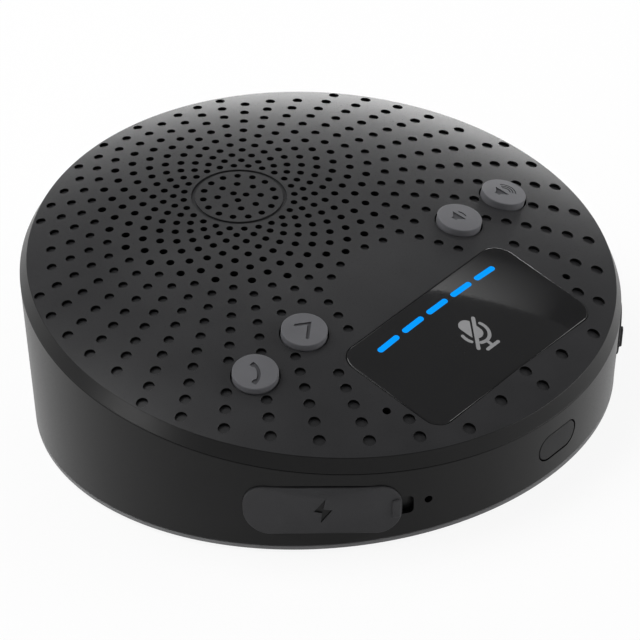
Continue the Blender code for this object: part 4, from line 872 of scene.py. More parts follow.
FINISH = {
    "plate": moulded("plate_plastic", (0.0245, 0.0245, 0.0258), 0.32, 0.18),
    "wall": moulded("wall_plastic", (0.006, 0.006, 0.0062), 0.34, 0.15),
    "trim": moulded("trim_plastic", (0.16, 0.16, 0.163), 0.5, 0.3),
    "rubber": moulded("foot_rubber", (0.016, 0.016, 0.0165), 0.75, 0.2, 1500.0, 0.3),
    "flap": moulded("cover_rubber", (0.034, 0.034, 0.036), 0.65, 0.2, 3500.0, 0.15),
    "button": moulded("button_plastic", (0.108, 0.108, 0.116), 0.55, 0.25),
    "panel": moulded("panel_gloss", (0.0115, 0.0115, 0.012), 0.05, 0.3, 3000.0, 0.0, 0.05),
    "light": lit("light_blue", (0.003, 0.32, 1.0), 1.05),
    "board": circuit("board_green", (0.008, 0.07, 0.03), (0.03, 0.16, 0.07)),
    "chip": moulded("chip_moulding", (0.013, 0.013, 0.014), 0.5, 0.4),
    "steel": metal("plated_steel", (0.56, 0.56, 0.57), 0.30, 30.0),
    "magnet": moulded("ferrite", (0.055, 0.055, 0.06), 0.6, 0.4, 1200.0, 0.3, 0.2),
    "copper": metal("enamelled_copper", (0.66, 0.28, 0.12), 0.35, 60.0),
    "paper": woven("pressed_paper", (0.05, 0.048, 0.045), 0.0006),
    "cloth": woven("acoustic_cloth", (0.008, 0.008, 0.008), 0.0004),
    "foam": moulded("grey_foam", (0.08, 0.08, 0.08), 0.9, 0.1, 900.0, 0.6, 0.3),
    "battery": moulded("cell_wrap", (0.33, 0.34, 0.36), 0.45, 0.4, 600.0, 0.15),
    "ribbon": moulded("amber_film", (0.5, 0.22, 0.04), 0.4, 0.4, 800.0, 0.1, 0.2),
}
SYMBOL_GREY = moulded("symbol_grey", (0.25, 0.25, 0.255), 0.5, 0.2)
# Painted shade: darker colour on the walls and floors of the engraved button symbols, which are the button's
# own plastic in the recess
SYMBOL_PAINTED_SHADE = moulded("engraved_painted_shade", (0.07, 0.07, 0.075), 0.6, 0.1)
POWER_MATT = moulded("power_plastic", (0.030, 0.030, 0.0307), 0.6, 0.12)
# Painted shade: near-black colour on the hole walls and the deep holes' floors stands in for the shade
# inside them; they are the plate's own plastic
BORE_PAINTED_SHADE = moulded("bore_painted_shade", (0.004, 0.004, 0.004), 0.7, 0.05)
# Painted shade: the chamfer ring is part of the plate's moulding, given a darker colour than the plate where
# it faces away from the light
RIM_PAINTED_SHADE = moulded("rim_painted_shade", (0.006, 0.006, 0.0062), 0.34, 0.20)
SOCKET_BLACK = moulded("socket_black", (0.01, 0.01, 0.01), 0.4, 0.4)


# Top cover


def button_places():
    """Plate positions of the round buttons, from left to right."""
    return [(x, -BUTTON_LINE) for x in (-BUTTON_OUTER, -BUTTON_INNER, BUTTON_INNER, BUTTON_OUTER)]


def mic_places():
    """Plate positions of the microphone pinholes."""
    return [(side * MIC_SPREAD, -MIC_LINE) for side in SIDES]


def hole_is_free(x, y, radius):
    """True where a hole of the pattern clears the edge, the panel, the bare field and the buttons."""
    if math.hypot(x, y) + radius > PLATE_RADIUS - HOLE_EDGE_MARGIN - EDGE_ROUND:
        return False
    half_width = 0.5 * PANEL_WIDTH + PANEL_MARGIN
    half_length = 0.5 * PANEL_LENGTH + PANEL_MARGIN
    if abs(x) < half_width and abs(y + PANEL_CENTRE) < half_length:
        return False
    if abs(x) < BARE_HALF_WIDTH and -PANEL_CENTRE < y < -BARE_BACK_EDGE:
        return False
    reach = 0.5 * BUTTON_DIAMETER + BUTTON_HOLE_MARGIN
    if any(math.dist((x, y), place) < reach for place in button_places()):
        return False
    reach = 0.5 * MIC_HOLE_DIAMETER + radius + HOLE_EDGE_MARGIN
    return all(math.dist((x, y), place) > reach for place in mic_places())


def hole_radius(distance):
    """Radius of a hole at a distance from the middle of the pattern: holes grow outwards."""
    return 0.5 * (HOLE_DIAMETER + HOLE_GROWTH * distance)


def ring_distance(ring):
    """Distance of a ring from the middle of the pattern: the outer rings stand a little wider."""
    outer = max(ring - INNER_RINGS, 0)
    return FIRST_RING_RADIUS + (ring - outer) * RING_PITCH + outer * OUTER_RING_PITCH


def ring_holes():
    """Places, radii and depths of the holes in the rings."""
    holes = []
    reach = PLATE_RADIUS + SPEAKER_OFFSET - FIRST_RING_RADIUS
    for ring in range(int(reach / RING_PITCH) + 1):
        distance = ring_distance(ring)
        turn = BACK + (ring % 2) * math.pi / SPOKES
        radius = hole_radius(distance)
        depth = DEEP_HOLE if distance < DEEP_RADIUS else DIMPLE_DEPTH
        depth = COVER_THICKNESS if distance < GRILLE_RADIUS else depth
        for x, y in circle(distance, SPOKES, (0.0, SPEAKER_OFFSET), turn):
            if hole_is_free(x, y, radius):
                holes.append(((x, y), radius, depth))
    return holes


def centre_holes():
    """Places, radii and depths of the holes inside the groove."""
    radius = hole_radius(FIRST_RING_RADIUS)
    holes = []
    for count, distance in CENTRE_RINGS:
        for place in circle(distance, count, (0.0, SPEAKER_OFFSET), BACK):
            holes.append((place, radius, COVER_THICKNESS))
    return holes


def sink_hole(bm, hole, rims, bores, rounding=HOLE_ROUND, segments=HOLE_SEGMENTS):
    """Sides and floor of one round hole, whose loops join those of the outer and the inner face."""
    place, radius, depth = hole
    rim = circle(radius + rounding, segments, place)
    bore = circle(radius, segments, place)
    sides(bm, dome_point, ((rim, 0.0), (bore, rounding)))
    # The bore wall, and the floor of a hole deeper than a dimple, take the painted shade
    tube(bm, dome_point, bore, rounding, depth, BORE)
    rims.append(rim)
    if depth < COVER_THICKNESS:
        cap(bm, placed(dome_point, bore, depth), BORE if depth > DIMPLE_DEPTH else PLATE_FACE)
    else:
        bores.append(bore)


def panel_loop(grow):
    """Outline of the touch panel, grown all round."""
    return rounded_rectangle(PANEL_WIDTH, PANEL_LENGTH, PANEL_CORNER, (0.0, -PANEL_CENTRE), grow)


def window_loop():
    """Opening in the floor of the panel's pocket."""
    centre = (0.0, -0.5 * (WINDOW_BACK + WINDOW_FRONT))
    return rounded_rectangle(WINDOW_WIDTH, WINDOW_FRONT - WINDOW_BACK, WINDOW_CORNER, centre)


def bend(start, middle, end):
    """Points of a smooth bend from start to end, drawn towards middle."""
    steps = [i / ROUND_STEPS for i in range(ROUND_STEPS + 1)]
    return [start.lerp(middle, t).lerp(middle.lerp(end, t), t) for t in steps]


def rim_profile():
    """Edge of the plate as (radius, height) points: rounded chamfer, parting face and locating lip."""
    chamfer = Vector((CHAMFER_WIDTH, -SHOULDER_DROP))
    top = Vector((PLATE_RADIUS, 0.0))
    low = top + chamfer
    slope = chamfer.normalized()
    start = PLATE_RADIUS - EDGE_ROUND
    profile = bend(Vector((start, dome_height(start, 0.0))), top, top + slope * EDGE_ROUND)
    profile.append(top + slope * EDGE_HOLD)
    profile.append(low - slope * EDGE_HOLD)
    profile += bend(low - slope * EDGE_ROUND, low, low - Vector((EDGE_ROUND, 0.0)))
    outer = SHOULDER_RADIUS - WALL_THICKNESS - FIT
    lean = LIP_DEPTH * math.tan(PLATE_TILT)
    foot = -SHOULDER_DROP - LIP_DEPTH
    profile.append(Vector((outer, -SHOULDER_DROP)))
    profile.append(Vector((outer - lean, foot)))
    profile.append(Vector((outer - lean - LIP_THICKNESS, foot)))
    return profile


def build_top_shell():
    """Domed plate with its holes, the panel's pocket and the buttons' openings."""
    bm = bmesh.new()
    window = window_loop()
    rims = []
    island = []
    bores = [window]
    for hole in ring_holes():
        sink_hole(bm, hole, rims, bores)
    for place in button_places():
        hole = (place, 0.5 * BUTTON_DIAMETER + BUTTON_FIT, COVER_THICKNESS)
        sink_hole(bm, hole, rims, bores, BUTTON_HOLE_ROUND, LOOP_SEGMENTS)
    for place in mic_places():
        sink_hole(bm, (place, 0.5 * MIC_HOLE_DIAMETER, COVER_THICKNESS), rims, bores)
    for hole in centre_holes():
        sink_hole(bm, hole, island, bores)
    radii = [GROOVE_RADIUS + s * 0.5 * GROOVE_WIDTH for s in (1, -1)]
    groove = [circle(radius, LOOP_SEGMENTS, (0.0, SPEAKER_OFFSET)) for radius in radii]
    sink_groove(bm, dome_point, groove, GROOVE_DEPTH)
    pocket = FIT + PANEL_THICKNESS - PANEL_PROUD
    edge = panel_loop(PANEL_FIT)
    tube(bm, dome_point, edge, 0.0, pocket)
    skin(bm, dome_point, pocket, edge, [window], PLATE_SPACING)
    tube(bm, dome_point, window, pocket, COVER_THICKNESS)
    profile = rim_profile()
    inside_edge = circle(profile[-1].x, RIM_SEGMENTS)
    rows = lathe(on_seat(PLATE), profile, RIM_SEGMENTS)
    # The chamfer rim takes the darker painted shade
    strips(bm, rows + [placed(dome_point, inside_edge, COVER_THICKNESS)], RIM)
    skin(bm, dome_point, 0.0, circle(profile[0].x, RIM_SEGMENTS), rims + [groove[0], edge], PLATE_SPACING)
    skin(bm, dome_point, 0.0, groove[1], island, PLATE_SPACING)
    skin(bm, dome_point, COVER_THICKNESS, inside_edge, bores, PLATE_SPACING)
    # Plate plastic, painted shade in the holes, painted shade on the chamfer rim
    add_piece("top_shell", bm, [FINISH["plate"], BORE_PAINTED_SHADE, RIM_PAINTED_SHADE], "body", ["top_cover"])


# Touch panel


def bar_loops(grow):
    """Outlines of the light bars, grown all round."""
    loops = []
    for i in range(BAR_COUNT):
        place = ((i - 0.5 * (BAR_COUNT - 1)) * BAR_PITCH, -BAR_LINE)
        loops.append(rounded_rectangle(BAR_LENGTH, BAR_WIDTH, 0.5 * BAR_WIDTH, place, grow, BAR_STEPS))
    return loops


def build_panel():
    """Glossy panel that follows the dome, with a slot for each light bar."""
    bm = bmesh.new()
    slots = bar_loops(BAR_FIT)
    rounded_sides(bm, panel_place, panel_loop, PANEL_ROUND, PANEL_THICKNESS)
    skin(bm, panel_place, 0.0, panel_loop(-PANEL_ROUND), slots, PLATE_SPACING)
    skin(bm, panel_place, PANEL_THICKNESS, panel_loop(0.0), slots, PLATE_SPACING)
    for loop in slots:
        tube(bm, panel_place, loop, 0.0, PANEL_THICKNESS)
    add_piece("panel_glass", bm, [FINISH["panel"]], "body", ["touch_panel"])


def build_light_bars():
    """Clear strip under the panel, with bars that rise through its slots."""
    bm = bmesh.new()
    top = PANEL_THICKNESS + FIT
    low = top + GUIDE_THICKNESS
    length = (BAR_COUNT - 1) * BAR_PITCH + BAR_LENGTH + 2.0 * GUIDE_MARGIN
    edge = rounded_rectangle(length, BAR_WIDTH + 2.0 * GUIDE_MARGIN, 0.5 * GUIDE_MARGIN, (0.0, -BAR_LINE))
    bars = bar_loops(0.0)
    skin(bm, panel_place, top, edge, bars, PLATE_SPACING)
    skin(bm, panel_place, low, edge, (), PLATE_SPACING)
    tube(bm, panel_place, edge, top, low)
    for loop in bars:
        tube(bm, panel_place, loop, top, 0.0)
        skin(bm, panel_place, 0.0, loop)
    add_piece("light_bars", bm, [FINISH["light"]], "body", ["light_guide"])


def mute_loops():
    """Outlines of the microphone symbol with a stroke across it, in millimetres."""
    width = SYMBOL_STROKE / MILLIMETRE
    low, high = [Vector(end) for end in SLASH_ENDS]
    along = (high - low).normalized()
    side = Vector((-along.y, along.x))
    half = 0.5 * SLASH_WIDTH
    capsule = rounded_rectangle(CAPSULE_WIDTH, CAPSULE_HEIGHT, 0.5 * CAPSULE_WIDTH, (0.0, CAPSULE_RISE))
    gap = half + SLASH_GAP
    loops = [clipped(capsule, low + side * gap, side), clipped(capsule, low - side * half, -side)]
    loops.append(stroke([low.lerp(high, i / SLASH_STEPS) for i in range(SLASH_STEPS + 1)], SLASH_WIDTH))
    loops += [stroke(arc(CRADLE_CENTRE, CRADLE_RADIUS, *sweep), width) for sweep in CRADLE_SWEEPS]
    loops += [stroke(ends, width) for ends in (STEM_ENDS, FOOT_ENDS)]
    return loops


def build_mute_symbol():
    """Symbol printed on the panel."""
    bm = bmesh.new()
    for flat in mute_loops():
        loop = in_metres(flat, (0.0, -SYMBOL_PLACE))
        skin(bm, panel_place, -SYMBOL_PROUD, loop, (), SYMBOL_STROKE)
        skin(bm, panel_place, SYMBOL_PROUD, loop, (), SYMBOL_STROKE)
        tube(bm, panel_place, loop, -SYMBOL_PROUD, SYMBOL_PROUD)
    add_piece("mute_symbol", bm, [SYMBOL_GREY], "body")


# Round buttons


def handset_loop():
    """Outline of a handset: a bent bar that is wider at both ends."""
    return smooth([point for sweep in HANDSET_ARCS for point in arc(HANDSET_CENTRE, *sweep)])


def loudspeaker(shift, waves):
    """Outlines of a small loudspeaker and its sound waves."""
    centre, radii, angle, width, steps = waves
    loops = [[(x + shift, y) for x, y in HORN]]
    return loops + [stroke(arc(centre, radius, -angle, angle, steps), width) for radius in radii]


def button_symbols():
    """Engraved outlines of each button, in millimetres."""
    return {
        "call": [handset_loop()],
        "skip": [stroke(ARROW_PATH, ARROW_WIDTH)],
        "volume_down": loudspeaker(QUIET_SHIFT, QUIET_WAVES),
        "volume_up": loudspeaker(LOUD_SHIFT, LOUD_WAVES),
    }


def build_button(name, place, symbols):
    """Round button with a soft edge, engraved symbols, a flange under the plate and a stem."""
    bm = bmesh.new()
    seat = dome_seat(*place)
    radius = 0.5 * BUTTON_DIAMETER
    flat = radius - BUTTON_ROUND

    def face(x, y, depth):
        crown = BUTTON_CROWN * (1.0 - (x * x + y * y) / flat ** 2)
        return seat @ Vector((x, y, BUTTON_PROUD + crown - depth))

    loops = [in_metres(counter_clockwise(loop)) for loop in symbols]
    skin(bm, face, 0.0, circle(flat, LOOP_SEGMENTS), loops, PLATE_SPACING)
    for loop in loops:
        # Engraved walls and floors take the painted shade
        tube(bm, face, loop, 0.0, ENGRAVE_DEPTH, slot=1)
        skin(bm, face, ENGRAVE_DEPTH, loop, slot=1)
    flange = radius + BUTTON_FLANGE
    flange_top = -COVER_THICKNESS - FIT
    flange_low = flange_top - BUTTON_FLANGE_THICKNESS
    stem = 0.5 * BUTTON_STEM_DIAMETER
    profile = [(radius - inset, BUTTON_PROUD - depth) for inset, depth in quarter(BUTTON_ROUND)]
    profile += [(radius, flange_top), (flange, flange_top), (flange, flange_low)]
    profile += [(stem, flange_low), (stem, flange_low - BUTTON_STEM_LENGTH)]
    rows = lathe(on_seat(seat), profile, LOOP_SEGMENTS)
    strips(bm, rows)
    cap(bm, rows[-1])
    add_piece(name + "_cap", bm, [FINISH["button"], SYMBOL_PAINTED_SHADE], name + "_key", [name + "_button"])


def build_buttons():
    """The four round buttons."""
    for (name, symbols), place in zip(button_symbols().items(), button_places()):
        build_button(name, place, symbols)


# Wall, port covers and power button


def cover_loop(grow):
    """Outline of a port cover, grown all round."""
    return rounded_rectangle(COVER_LENGTH, COVER_HEIGHT, COVER_CORNER, grow=grow)


def tab_loop(grow):
    """Outline of a cover's pull tab, grown all round."""
    centre = (0.5 * COVER_LENGTH - TAB_INSET - 0.5 * TAB_LENGTH, 0.0)
    return rounded_rectangle(TAB_LENGTH, TAB_HEIGHT, TAB_CORNER, centre, grow)


def pocket_loop():
    """Outline of a port cover's pocket, with the nail notch at its front end."""
    half = 0.5 * NOTCH_HEIGHT
    front = 0.5 * COVER_LENGTH
    tip = front + COVER_FIT + NOTCH_LENGTH - NOTCH_CORNER
    notch = [(front, -half)]
    notch += arc((tip, NOTCH_CORNER - half), NOTCH_CORNER, -90.0, 0.0, NOTCH_STEPS)
    notch += arc((tip, half - NOTCH_CORNER), NOTCH_CORNER, 0.0, 90.0, NOTCH_STEPS)
    notch.append((front, half))
    body = [p for p in cover_loop(COVER_FIT) if p[0] < 0.0 or abs(p[1]) > half + 0.5 * COVER_FIT]
    first = next(i for i, p in enumerate(body) if p[0] > 0.0 and p[1] > 0.0)
    return body[:first] + notch + body[first:]


def port_loop(side, grow):
    """Outline of a port's mouth: flat on the left, round on the right."""
    if side < 0:
        return rounded_rectangle(USB_WIDTH, USB_HEIGHT, 0.5 * USB_HEIGHT, grow=grow)
    return circle(0.5 * JACK_BORE + grow, 4 * CORNER_STEPS + 4)


def wall_rows(depth, inset):
    """Lower and upper edge of the wall at a depth, laid out flat and drawn in by an inset."""
    lower = []
    upper = []
    low = FOOT_PROUD + TRIM_HEIGHT + PARTING_LINE + inset
    high = -SHOULDER_DROP - PARTING_LINE - inset
    to_plate = PLATE.inverted()
    for i in range(RIM_SEGMENTS + 1):
        angle = BACK + 2.0 * math.pi * i / RIM_SEGMENTS
        foot = wall_point(angle, 0.0, depth)
        head = wall_point(angle, 1.0, depth)
        lower.append(unroll(angle, (low - foot.z) / (head.z - foot.z)))
        start = (to_plate @ foot).z
        end = (to_plate @ head).z
        upper.append(unroll(angle, (high - start) / (end - start)))
    return lower, upper


def power_loop(grow):
    """Outline of the power button on the wall, grown all round."""
    loop = rounded_rectangle(POWER_WIDTH, POWER_HEIGHT, 0.5 * POWER_HEIGHT, grow=grow)
    return on_wall(loop, FRONT, POWER_LEVEL)


def build_wall():
    """Wall ring: pockets for the port covers, side pinholes and the power button's opening."""
    bm = bmesh.new()
    power = power_loop(FIT)
    outer = [power]
    inner = [power]
    floor = FLAP_THICKNESS - FLAP_PROUD + FIT
    tube(bm, wall_place, power, 0.0, WALL_THICKNESS)
    for side in SIDES:
        pocket = on_port(pocket_loop(), side)
        window = on_port(port_loop(side, FIT), side)
        tube(bm, wall_place, pocket, 0.0, floor)
        skin(bm, wall_place, floor, pocket, [window], WALL_SPACING)
        tube(bm, wall_place, window, floor, WALL_THICKNESS)
        hole = circle(0.5 * MIC_HOLE_DIAMETER, HOLE_SEGMENTS)
        hole = on_wall(hole, FRONT + side * SIDE_MIC_ANGLE, SIDE_MIC_LEVEL, side)
        tube(bm, wall_place, hole, 0.0, WALL_THICKNESS)
        outer += [pocket, hole]
        inner += [window, hole]
    edges = [(wall_rows(depth, inset), depth) for inset, depth in quarter(WALL_ROUND)]
    edges.append((wall_rows(WALL_THICKNESS, 0.0), WALL_THICKNESS))
    for k in (0, 1):
        strips(bm, [placed(wall_place, rows[k], depth) for rows, depth in edges], closed=False)
    for (rows, depth), holes in ((edges[0], outer), (edges[-1], inner)):
        skin(bm, wall_place, depth, rows[0] + rows[1][::-1], holes, WALL_SPACING)
    add_piece("wall_shell", bm, [FINISH["wall"]], "body", ["main_housing"])


def bolt_loop():
    """Lightning symbol on the charging port's cover."""
    return [(BOLT_HALF_HEIGHT * x, BOLT_RAISE + BOLT_HALF_HEIGHT * y) for x, y in BOLT_SHAPE]


def build_port_cover(name, body, side, replaced):
    """Soft cover that follows the wall, with a pull tab at its front end and a plug behind."""
    bm = bmesh.new()

    def outline(grow):
        return on_port(cover_loop(grow), side)

    def tab(grow):
        return on_port(tab_loop(grow), side)

    rounded_sides(bm, flap_place, outline, COVER_ROUND, FLAP_THICKNESS)
    rounded_sides(bm, flap_place, tab, COVER_ROUND, 0.0, TAB_PROUD)
    skin(bm, flap_place, -TAB_PROUD, tab(-COVER_ROUND))
    cuts = [tab(0.0)]
    if side < 0:
        bolt = on_port(bolt_loop(), side)
        tube(bm, flap_place, bolt, 0.0, BOLT_DEPTH)
        # The bolt's engraved floor takes the darker wall plastic: painted shade in the recess
        skin(bm, flap_place, BOLT_DEPTH, bolt, slot=1)
        cuts.append(bolt)
    skin(bm, flap_place, 0.0, outline(-COVER_ROUND), cuts, WALL_SPACING)
    plug = on_port(port_loop(side, -2.0 * FIT), side)
    reach = FLAP_THICKNESS + PLUG_REACH
    tube(bm, flap_place, plug, FLAP_THICKNESS, reach)
    skin(bm, flap_place, reach, plug)
    skin(bm, flap_place, FLAP_THICKNESS, outline(0.0), [plug], WALL_SPACING)
    add_piece(name, bm, [FINISH["flap"], FINISH["wall"]], body, [replaced])


def build_power_button():
    """Flush oblong button with a flange behind the wall and a stem to its switch."""
    bm = bmesh.new()
    flange_out = WALL_THICKNESS + FIT
    flange_in = flange_out + POWER_FLANGE_THICKNESS
    end = flange_in + POWER_STEM_LENGTH
    flange = power_loop(POWER_FLANGE)
    stem = on_wall(circle(0.5 * POWER_STEM_DIAMETER, len(flange), turn=-BACK), FRONT, POWER_LEVEL)
    steps = [(power_loop(-inset), depth) for inset, depth in quarter(POWER_ROUND)]
    steps += [(power_loop(0.0), flange_out), (flange, flange_out), (flange, flange_in)]
    steps += [(stem, flange_in), (stem, end)]
    sides(bm, wall_place, steps)
    cap(bm, placed(wall_place, stem, end))
    skin(bm, wall_place, 0.0, power_loop(-POWER_ROUND), (), WALL_SPACING)
    add_piece("power_cap", bm, [POWER_MATT], "power_key", ["power_button"])


# Sockets


def socket_place(side, height):
    """Place function of a level socket of some height behind the leaning wall: Z points out, Y is up."""
    angle = port_angle(side)
    origin = wall_point(angle, PORT_LEVEL, WALL_THICKNESS + FIT + 0.5 * height * math.tan(PLATE_TILT))
    outward = (math.cos(angle), math.sin(angle), 0.0)
    return on_seat(seat_at(origin, outward, (-math.sin(angle), math.cos(angle), 0.0)))


def build_usb_socket():
    """Rolled steel shell with its black tongue."""
    bm = bmesh.new()
    place = socket_place(-1, USB_HEIGHT)
    floor = USB_BACK - USB_LENGTH
    tip = floor + USB_TONGUE_LENGTH
    outer = port_loop(-1, 0.0)
    inner = port_loop(-1, -USB_SHELL)
    tongue = rounded_rectangle(USB_TONGUE_WIDTH, USB_TONGUE_HEIGHT, 0.5 * USB_TONGUE_HEIGHT)
    sides(bm, place, ((outer, -USB_LENGTH), (outer, 0.0), (inner, 0.0), (inner, floor)))
    sides(bm, place, ((inner, floor), (tongue, floor), (tongue, tip)), slot=1)
    cap(bm, placed(place, outer, -USB_LENGTH))
    cap(bm, placed(place, tongue, tip), slot=1)
    add_piece("usb_socket", bm, [FINISH["steel"], SOCKET_BLACK], "body", ["usb_c_socket"])


def build_audio_socket():
    """Black block with a round bore and a bright collar round its mouth."""
    bm = bmesh.new()
    place = socket_place(1, JACK_HEIGHT)
    outer = rounded_rectangle(JACK_WIDTH, JACK_HEIGHT, JACK_CORNER)
    count = len(outer)
    turn = math.pi / count - 0.5 * math.pi
    collar = circle(0.5 * JACK_BORE + JACK_COLLAR, count, turn=turn)
    bore = circle(0.5 * JACK_BORE, count, turn=turn)
    sides(bm, place, ((outer, -JACK_LENGTH), (outer, 0.0), (collar, 0.0)))
    sides(bm, place, ((collar, 0.0), (bore, 0.0)), slot=1)
    tube(bm, place, bore, 0.0, -JACK_BORE_DEPTH)
    cap(bm, placed(place, outer, -JACK_LENGTH))
    cap(bm, placed(place, bore, -JACK_BORE_DEPTH))
    add_piece("audio_socket", bm, [FINISH["chip"], FINISH["steel"]], "body", ["aux_jack"])


# Base, foot and screws


def screw_places():
    """World x and y of the four screws, in the order of their names."""
    places = []
    for angle, radius in POSTS:
        for side in SIDES:
            point = dome_point(side * radius * math.cos(angle), radius * math.sin(angle), COVER_THICKNESS)
            places.append((point.x, point.y))
    return places


def base_plug_radius():
    """Radius of the base cover, which fits inside the wall."""
    return BASE_RADIUS - WALL_THICKNESS - FIT


def build_base():
    """Round plate with the foot's groove and counterbored screw holes."""
    bm = bmesh.new()
    centre = (0.0, BASE_SET_BACK)
    radii = (base_plug_radius(), FOOT_RADIUS + FIT, FOOT_RADIUS - FOOT_WIDTH - FIT)
    edge, *groove = [circle(radius, RIM_SEGMENTS, centre) for radius in radii]
    sink_groove(bm, base_place, groove, FOOT_GROOVE)
    heads = []
    shanks = []
    for place in screw_places():
        head = circle(0.5 * SCREW_HEAD_DIAMETER + FIT, SCREW_SEGMENTS, place)
        shank = circle(0.5 * SCREW_SHANK_DIAMETER + FIT, SCREW_SEGMENTS, place)
        steps = [(head, 0.0), (head, COUNTERBORE_DEPTH), (shank, COUNTERBORE_DEPTH), (shank, BASE_THICKNESS)]
        sides(bm, base_place, steps)
        heads.append(head)
        shanks.append(shank)
    skin(bm, base_place, 0.0, edge, [groove[0]] + heads)
    skin(bm, base_place, 0.0, groove[1])
    skin(bm, base_place, BASE_THICKNESS, edge, shanks)
    tube(bm, base_place, edge, 0.0, BASE_THICKNESS)
    add_piece("base_plate", bm, [FINISH["wall"]], "body", ["base_cover"])


def build_ring(name, height, profile, finish, replaced):
    """Ring turned round the middle of the base from (radius, height) points."""
    bm = bmesh.new()
    rows = lathe(on_seat(Matrix.Translation((0.0, BASE_SET_BACK, height))), profile, RIM_SEGMENTS)
    strips(bm, rows + rows[:1])
    add_piece(name, bm, [FINISH[finish]], "body", [replaced])


def build_trim():
    """Pale ring along the bottom edge of the wall."""
    inner = base_plug_radius() + FIT
    outer = BASE_RADIUS - TRIM_ROUND
    low = -TRIM_DROP
    profile = [(inner, low), (inner, TRIM_HEIGHT), (outer, TRIM_HEIGHT)]
    profile += [(BASE_RADIUS, TRIM_HEIGHT - TRIM_ROUND), (BASE_RADIUS, low + TRIM_ROUND), (outer, low)]
    build_ring("trim_band", FOOT_PROUD, profile, "trim", "base_trim_ring")


def build_foot():
    """Ribbed rubber ring that the body stands on."""
    inner = FOOT_RADIUS - FOOT_WIDTH
    top = FOOT_PROUD + FOOT_GROOVE - FIT
    pitch = (FOOT_WIDTH - 2.0 * FOOT_ROUND) / FOOT_RIB_COUNT
    profile = [(inner, top), (inner, FOOT_ROUND), (inner + FOOT_ROUND, 0.0)]
    for i in range(1, FOOT_RIB_COUNT):
        line = inner + FOOT_ROUND + i * pitch
        profile += [(line - FOOT_RIB_DEPTH, 0.0), (line, FOOT_RIB_DEPTH), (line + FOOT_RIB_DEPTH, 0.0)]
    profile += [(FOOT_RADIUS - FOOT_ROUND, 0.0), (FOOT_RADIUS, FOOT_ROUND), (FOOT_RADIUS, top)]
    build_ring("foot_pad", 0.0, profile, "rubber", "foot_ring")


def cross_loop():
    """Outline of the cross recess in a screw's head."""
    half = CROSS_HALF_WIDTH
    corners = []
    for k in range(4):
        turn = Matrix.Rotation(0.5 * math.pi * k, 2)
        for point in ((half, half), (half, CROSS_REACH), (-half, CROSS_REACH)):
            corners.append(tuple(turn @ Vector(point)))
    return counter_clockwise(corners)


def build_screws():
    """Four screws with cross recesses, in their counterbores."""
    low = FOOT_PROUD + COUNTERBORE_DEPTH - FIT - SCREW_HEAD_HEIGHT
    head = 0.5 * SCREW_HEAD_DIAMETER
    shank = 0.5 * SCREW_SHANK_DIAMETER
    cross = cross_loop()
    profile = [(head - inset, depth) for inset, depth in quarter(SCREW_HEAD_ROUND)]
    tip = SCREW_HEAD_HEIGHT + SCREW_LENGTH
    profile += [(head, SCREW_HEAD_HEIGHT), (shank, SCREW_HEAD_HEIGHT), (shank, tip)]
    for i, (x, y) in enumerate(screw_places()):
        bm = bmesh.new()
        face = on_seat(Matrix.Translation((x, y, low)))
        skin(bm, face, 0.0, circle(head - SCREW_HEAD_ROUND, SCREW_SEGMENTS), [cross])
        tube(bm, face, cross, 0.0, CROSS_DEPTH)
        skin(bm, face, CROSS_DEPTH, cross)
        rows = lathe(face, profile, SCREW_SEGMENTS)
        strips(bm, rows)
        cap(bm, rows[-1])
        name = str(i + 1)
        add_piece("screw_" + name, bm, [FINISH["steel"]], "body", ["base_screw_" + name])


# Carried-over nodes, stage, light and camera


def dress_nodes(model):
    """Give every node that stays its finish."""
    for part in model["record"]["subparts"]:
        node = model["nodes"][part["node"]]
        node.data.materials.clear()
        node.data.materials.append(FINISH[part["material_slot"]])


def flat_sheet(name, size, material):
    """Square sheet for the stage."""
    bm = bmesh.new()
    bmesh.ops.create_grid(bm, x_segments=1, y_segments=1, size=0.5 * size)
    mesh = new_mesh(name, bm)
    mesh.materials.append(material)
    return new_object(name, mesh)


def floor_paper():
    """Pale paper, white from above and in reflections, with a soft shadow; clear when seen from below."""
    material, tree = new_material("floor_paper")
    fibre = noise(tree, FIBRE_SCALE, FIBRE_DETAIL)
    dress(tree, {
        "Base Color": mottled(tree, fibre, FLOOR_COLOUR, share=0.005),
        "Roughness": 0.9,
        "Specular IOR Level": 0.0,
    })
    seen = add_node(tree, "LightPath", "Is Camera Ray", {})
    for ray in ("Is Glossy Ray", "Is Transmission Ray"):
        seen = math_node(tree, "MAXIMUM", seen, add_node(tree, "LightPath", ray, {}))
    share = math_node(tree, "MULTIPLY", seen, FLOOR_WHITE_SHARE)
    paper = tree.nodes["Principled BSDF"].outputs["BSDF"]
    white = add_node(tree, "Emission", "Emission", {"Color": WHITE, "Strength": 1.0})
    above = add_node(tree, "MixShader", "Shader", {0: share, 1: paper, 2: white})
    below = add_node(tree, "NewGeometry", "Backfacing", {})
    clear = add_node(tree, "BsdfTransparent", "BSDF", {})
    sheet = add_node(tree, "MixShader", "Shader", {0: below, 1: above, 2: clear})
    feed(tree, tree.nodes["Material Output"], {"Surface": sheet})
    return material


def build_stage():
    """Floor under the object."""
    floor = flat_sheet("floor", FLOOR_SIZE, floor_paper())
    floor.location.z = -FLOOR_DROP


def direction(azimuth, elevation):
    """Unit vector at an azimuth from +X and an elevation, both in degrees."""
    a = math.radians(azimuth)
    e = math.radians(elevation)
    return Vector((math.cos(e) * math.cos(a), math.cos(e) * math.sin(a), math.sin(e)))


def add_light(name, azimuth, elevation, width, height, power):
    """One soft area lamp, aimed at the object."""
    lamp = bpy.data.lights.new(name, "AREA")
    lamp.shape = "RECTANGLE"
    lamp.size = width
    lamp.size_y = height
    lamp.energy = power
    holder = new_object(name, lamp)
    away = direction(azimuth, elevation)
    holder.location = away * LAMP_DISTANCE
    holder.rotation_euler = away.to_track_quat("Z", "Y").to_euler()


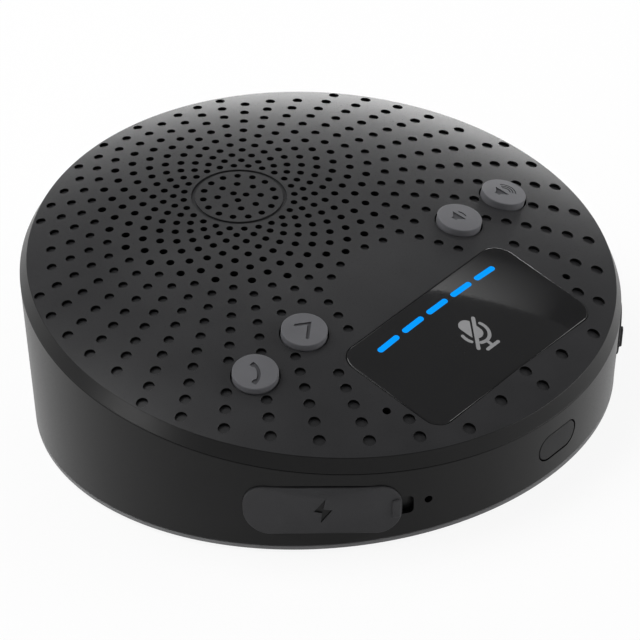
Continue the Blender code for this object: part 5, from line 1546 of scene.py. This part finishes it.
def card_paper():
    """Glowing paper, brightest at its upper far corner."""
    material, tree = new_material("card_paper")
    coords = object_coords(tree)
    fades = []
    for axis, start in zip("XY", CARD_FADE):
        value = add_node(tree, "SeparateXYZ", axis, {"Vector": coords})
        limits = {"From Min": start, "From Max": CARD_EDGE}
        fades.append(add_node(tree, "MapRange", "Result", {"Value": value, **limits}))
    glow = math_node(tree, "MULTIPLY", math_node(tree, "MULTIPLY", *fades), CARD_GLOW)
    dress(tree, {"Base Color": CARD_COLOUR, "Emission Color": WHITE, "Emission Strength": glow})
    return material


def add_card():
    """Pale reflector whose edge is mirrored across the panel."""
    away = direction(CARD_AZIMUTH, CARD_ELEVATION)
    turn = away.to_track_quat("Z", "Y").to_matrix() @ Matrix.Rotation(CARD_LEAN, 3, "Z")
    size = (CARD_WIDTH, CARD_HEIGHT, 1.0)
    card = flat_sheet("card", 2.0 * CARD_EDGE, card_paper())
    card.matrix_world = Matrix.LocRotScale(away * LAMP_DISTANCE, turn.to_quaternion(), size)
    card.visible_camera = False


def build_light():
    """Dim surroundings that are pale near the horizon, and large soft lamps behind and at the sides."""
    world = bpy.data.worlds.new("studio")
    world.use_nodes = True
    tree = world.node_tree
    coords = add_node(tree, "TexCoord", "Generated", {})
    up = add_node(tree, "SeparateXYZ", "Z", {"Vector": coords})
    limits = {"From Max": HORIZON_HEIGHT, "To Min": HORIZON_LEVEL, "To Max": SKY_LEVEL}
    level = add_node(tree, "MapRange", "Result", {"Value": up, **limits})
    feed(tree, tree.nodes["Background"], {"Color": WHITE, "Strength": level})
    bpy.context.scene.world = world
    for lamp in LAMPS:
        add_light(*lamp)
    add_card()


def build_camera():
    """Camera at the photograph's place."""
    data = bpy.data.cameras.new("camera")
    data.lens = CAMERA_LENS
    data.sensor_width = SENSOR_WIDTH
    data.clip_start = CLIP_START
    data.clip_end = CLIP_END
    camera = new_object("camera", data)
    back = -CAMERA_FORWARD.normalized()
    right = CAMERA_UP.cross(back).normalized()
    matrix = Matrix((right, back.cross(right), back)).transposed().to_4x4()
    matrix.translation = CAMERA_PLACE
    camera.matrix_world = matrix
    bpy.context.scene.camera = camera


def build():
    """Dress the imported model."""
    for item in list(bpy.data.objects):
        bpy.data.objects.remove(item, do_unlink=True)
    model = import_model()
    bpy.context.scene.view_settings.view_transform = "Standard"
    dress_nodes(model)
    build_top_shell()
    build_panel()
    build_light_bars()
    build_mute_symbol()
    build_buttons()
    build_wall()
    build_port_cover("charge_flap", "charge_cover", -1, "charge_port_cover")
    build_port_cover("aux_flap", "aux_cover", 1, "aux_port_cover")
    build_power_button()
    build_usb_socket()
    build_audio_socket()
    build_base()
    build_trim()
    build_foot()
    build_screws()
    build_stage()
    build_light()
    build_camera()


build()
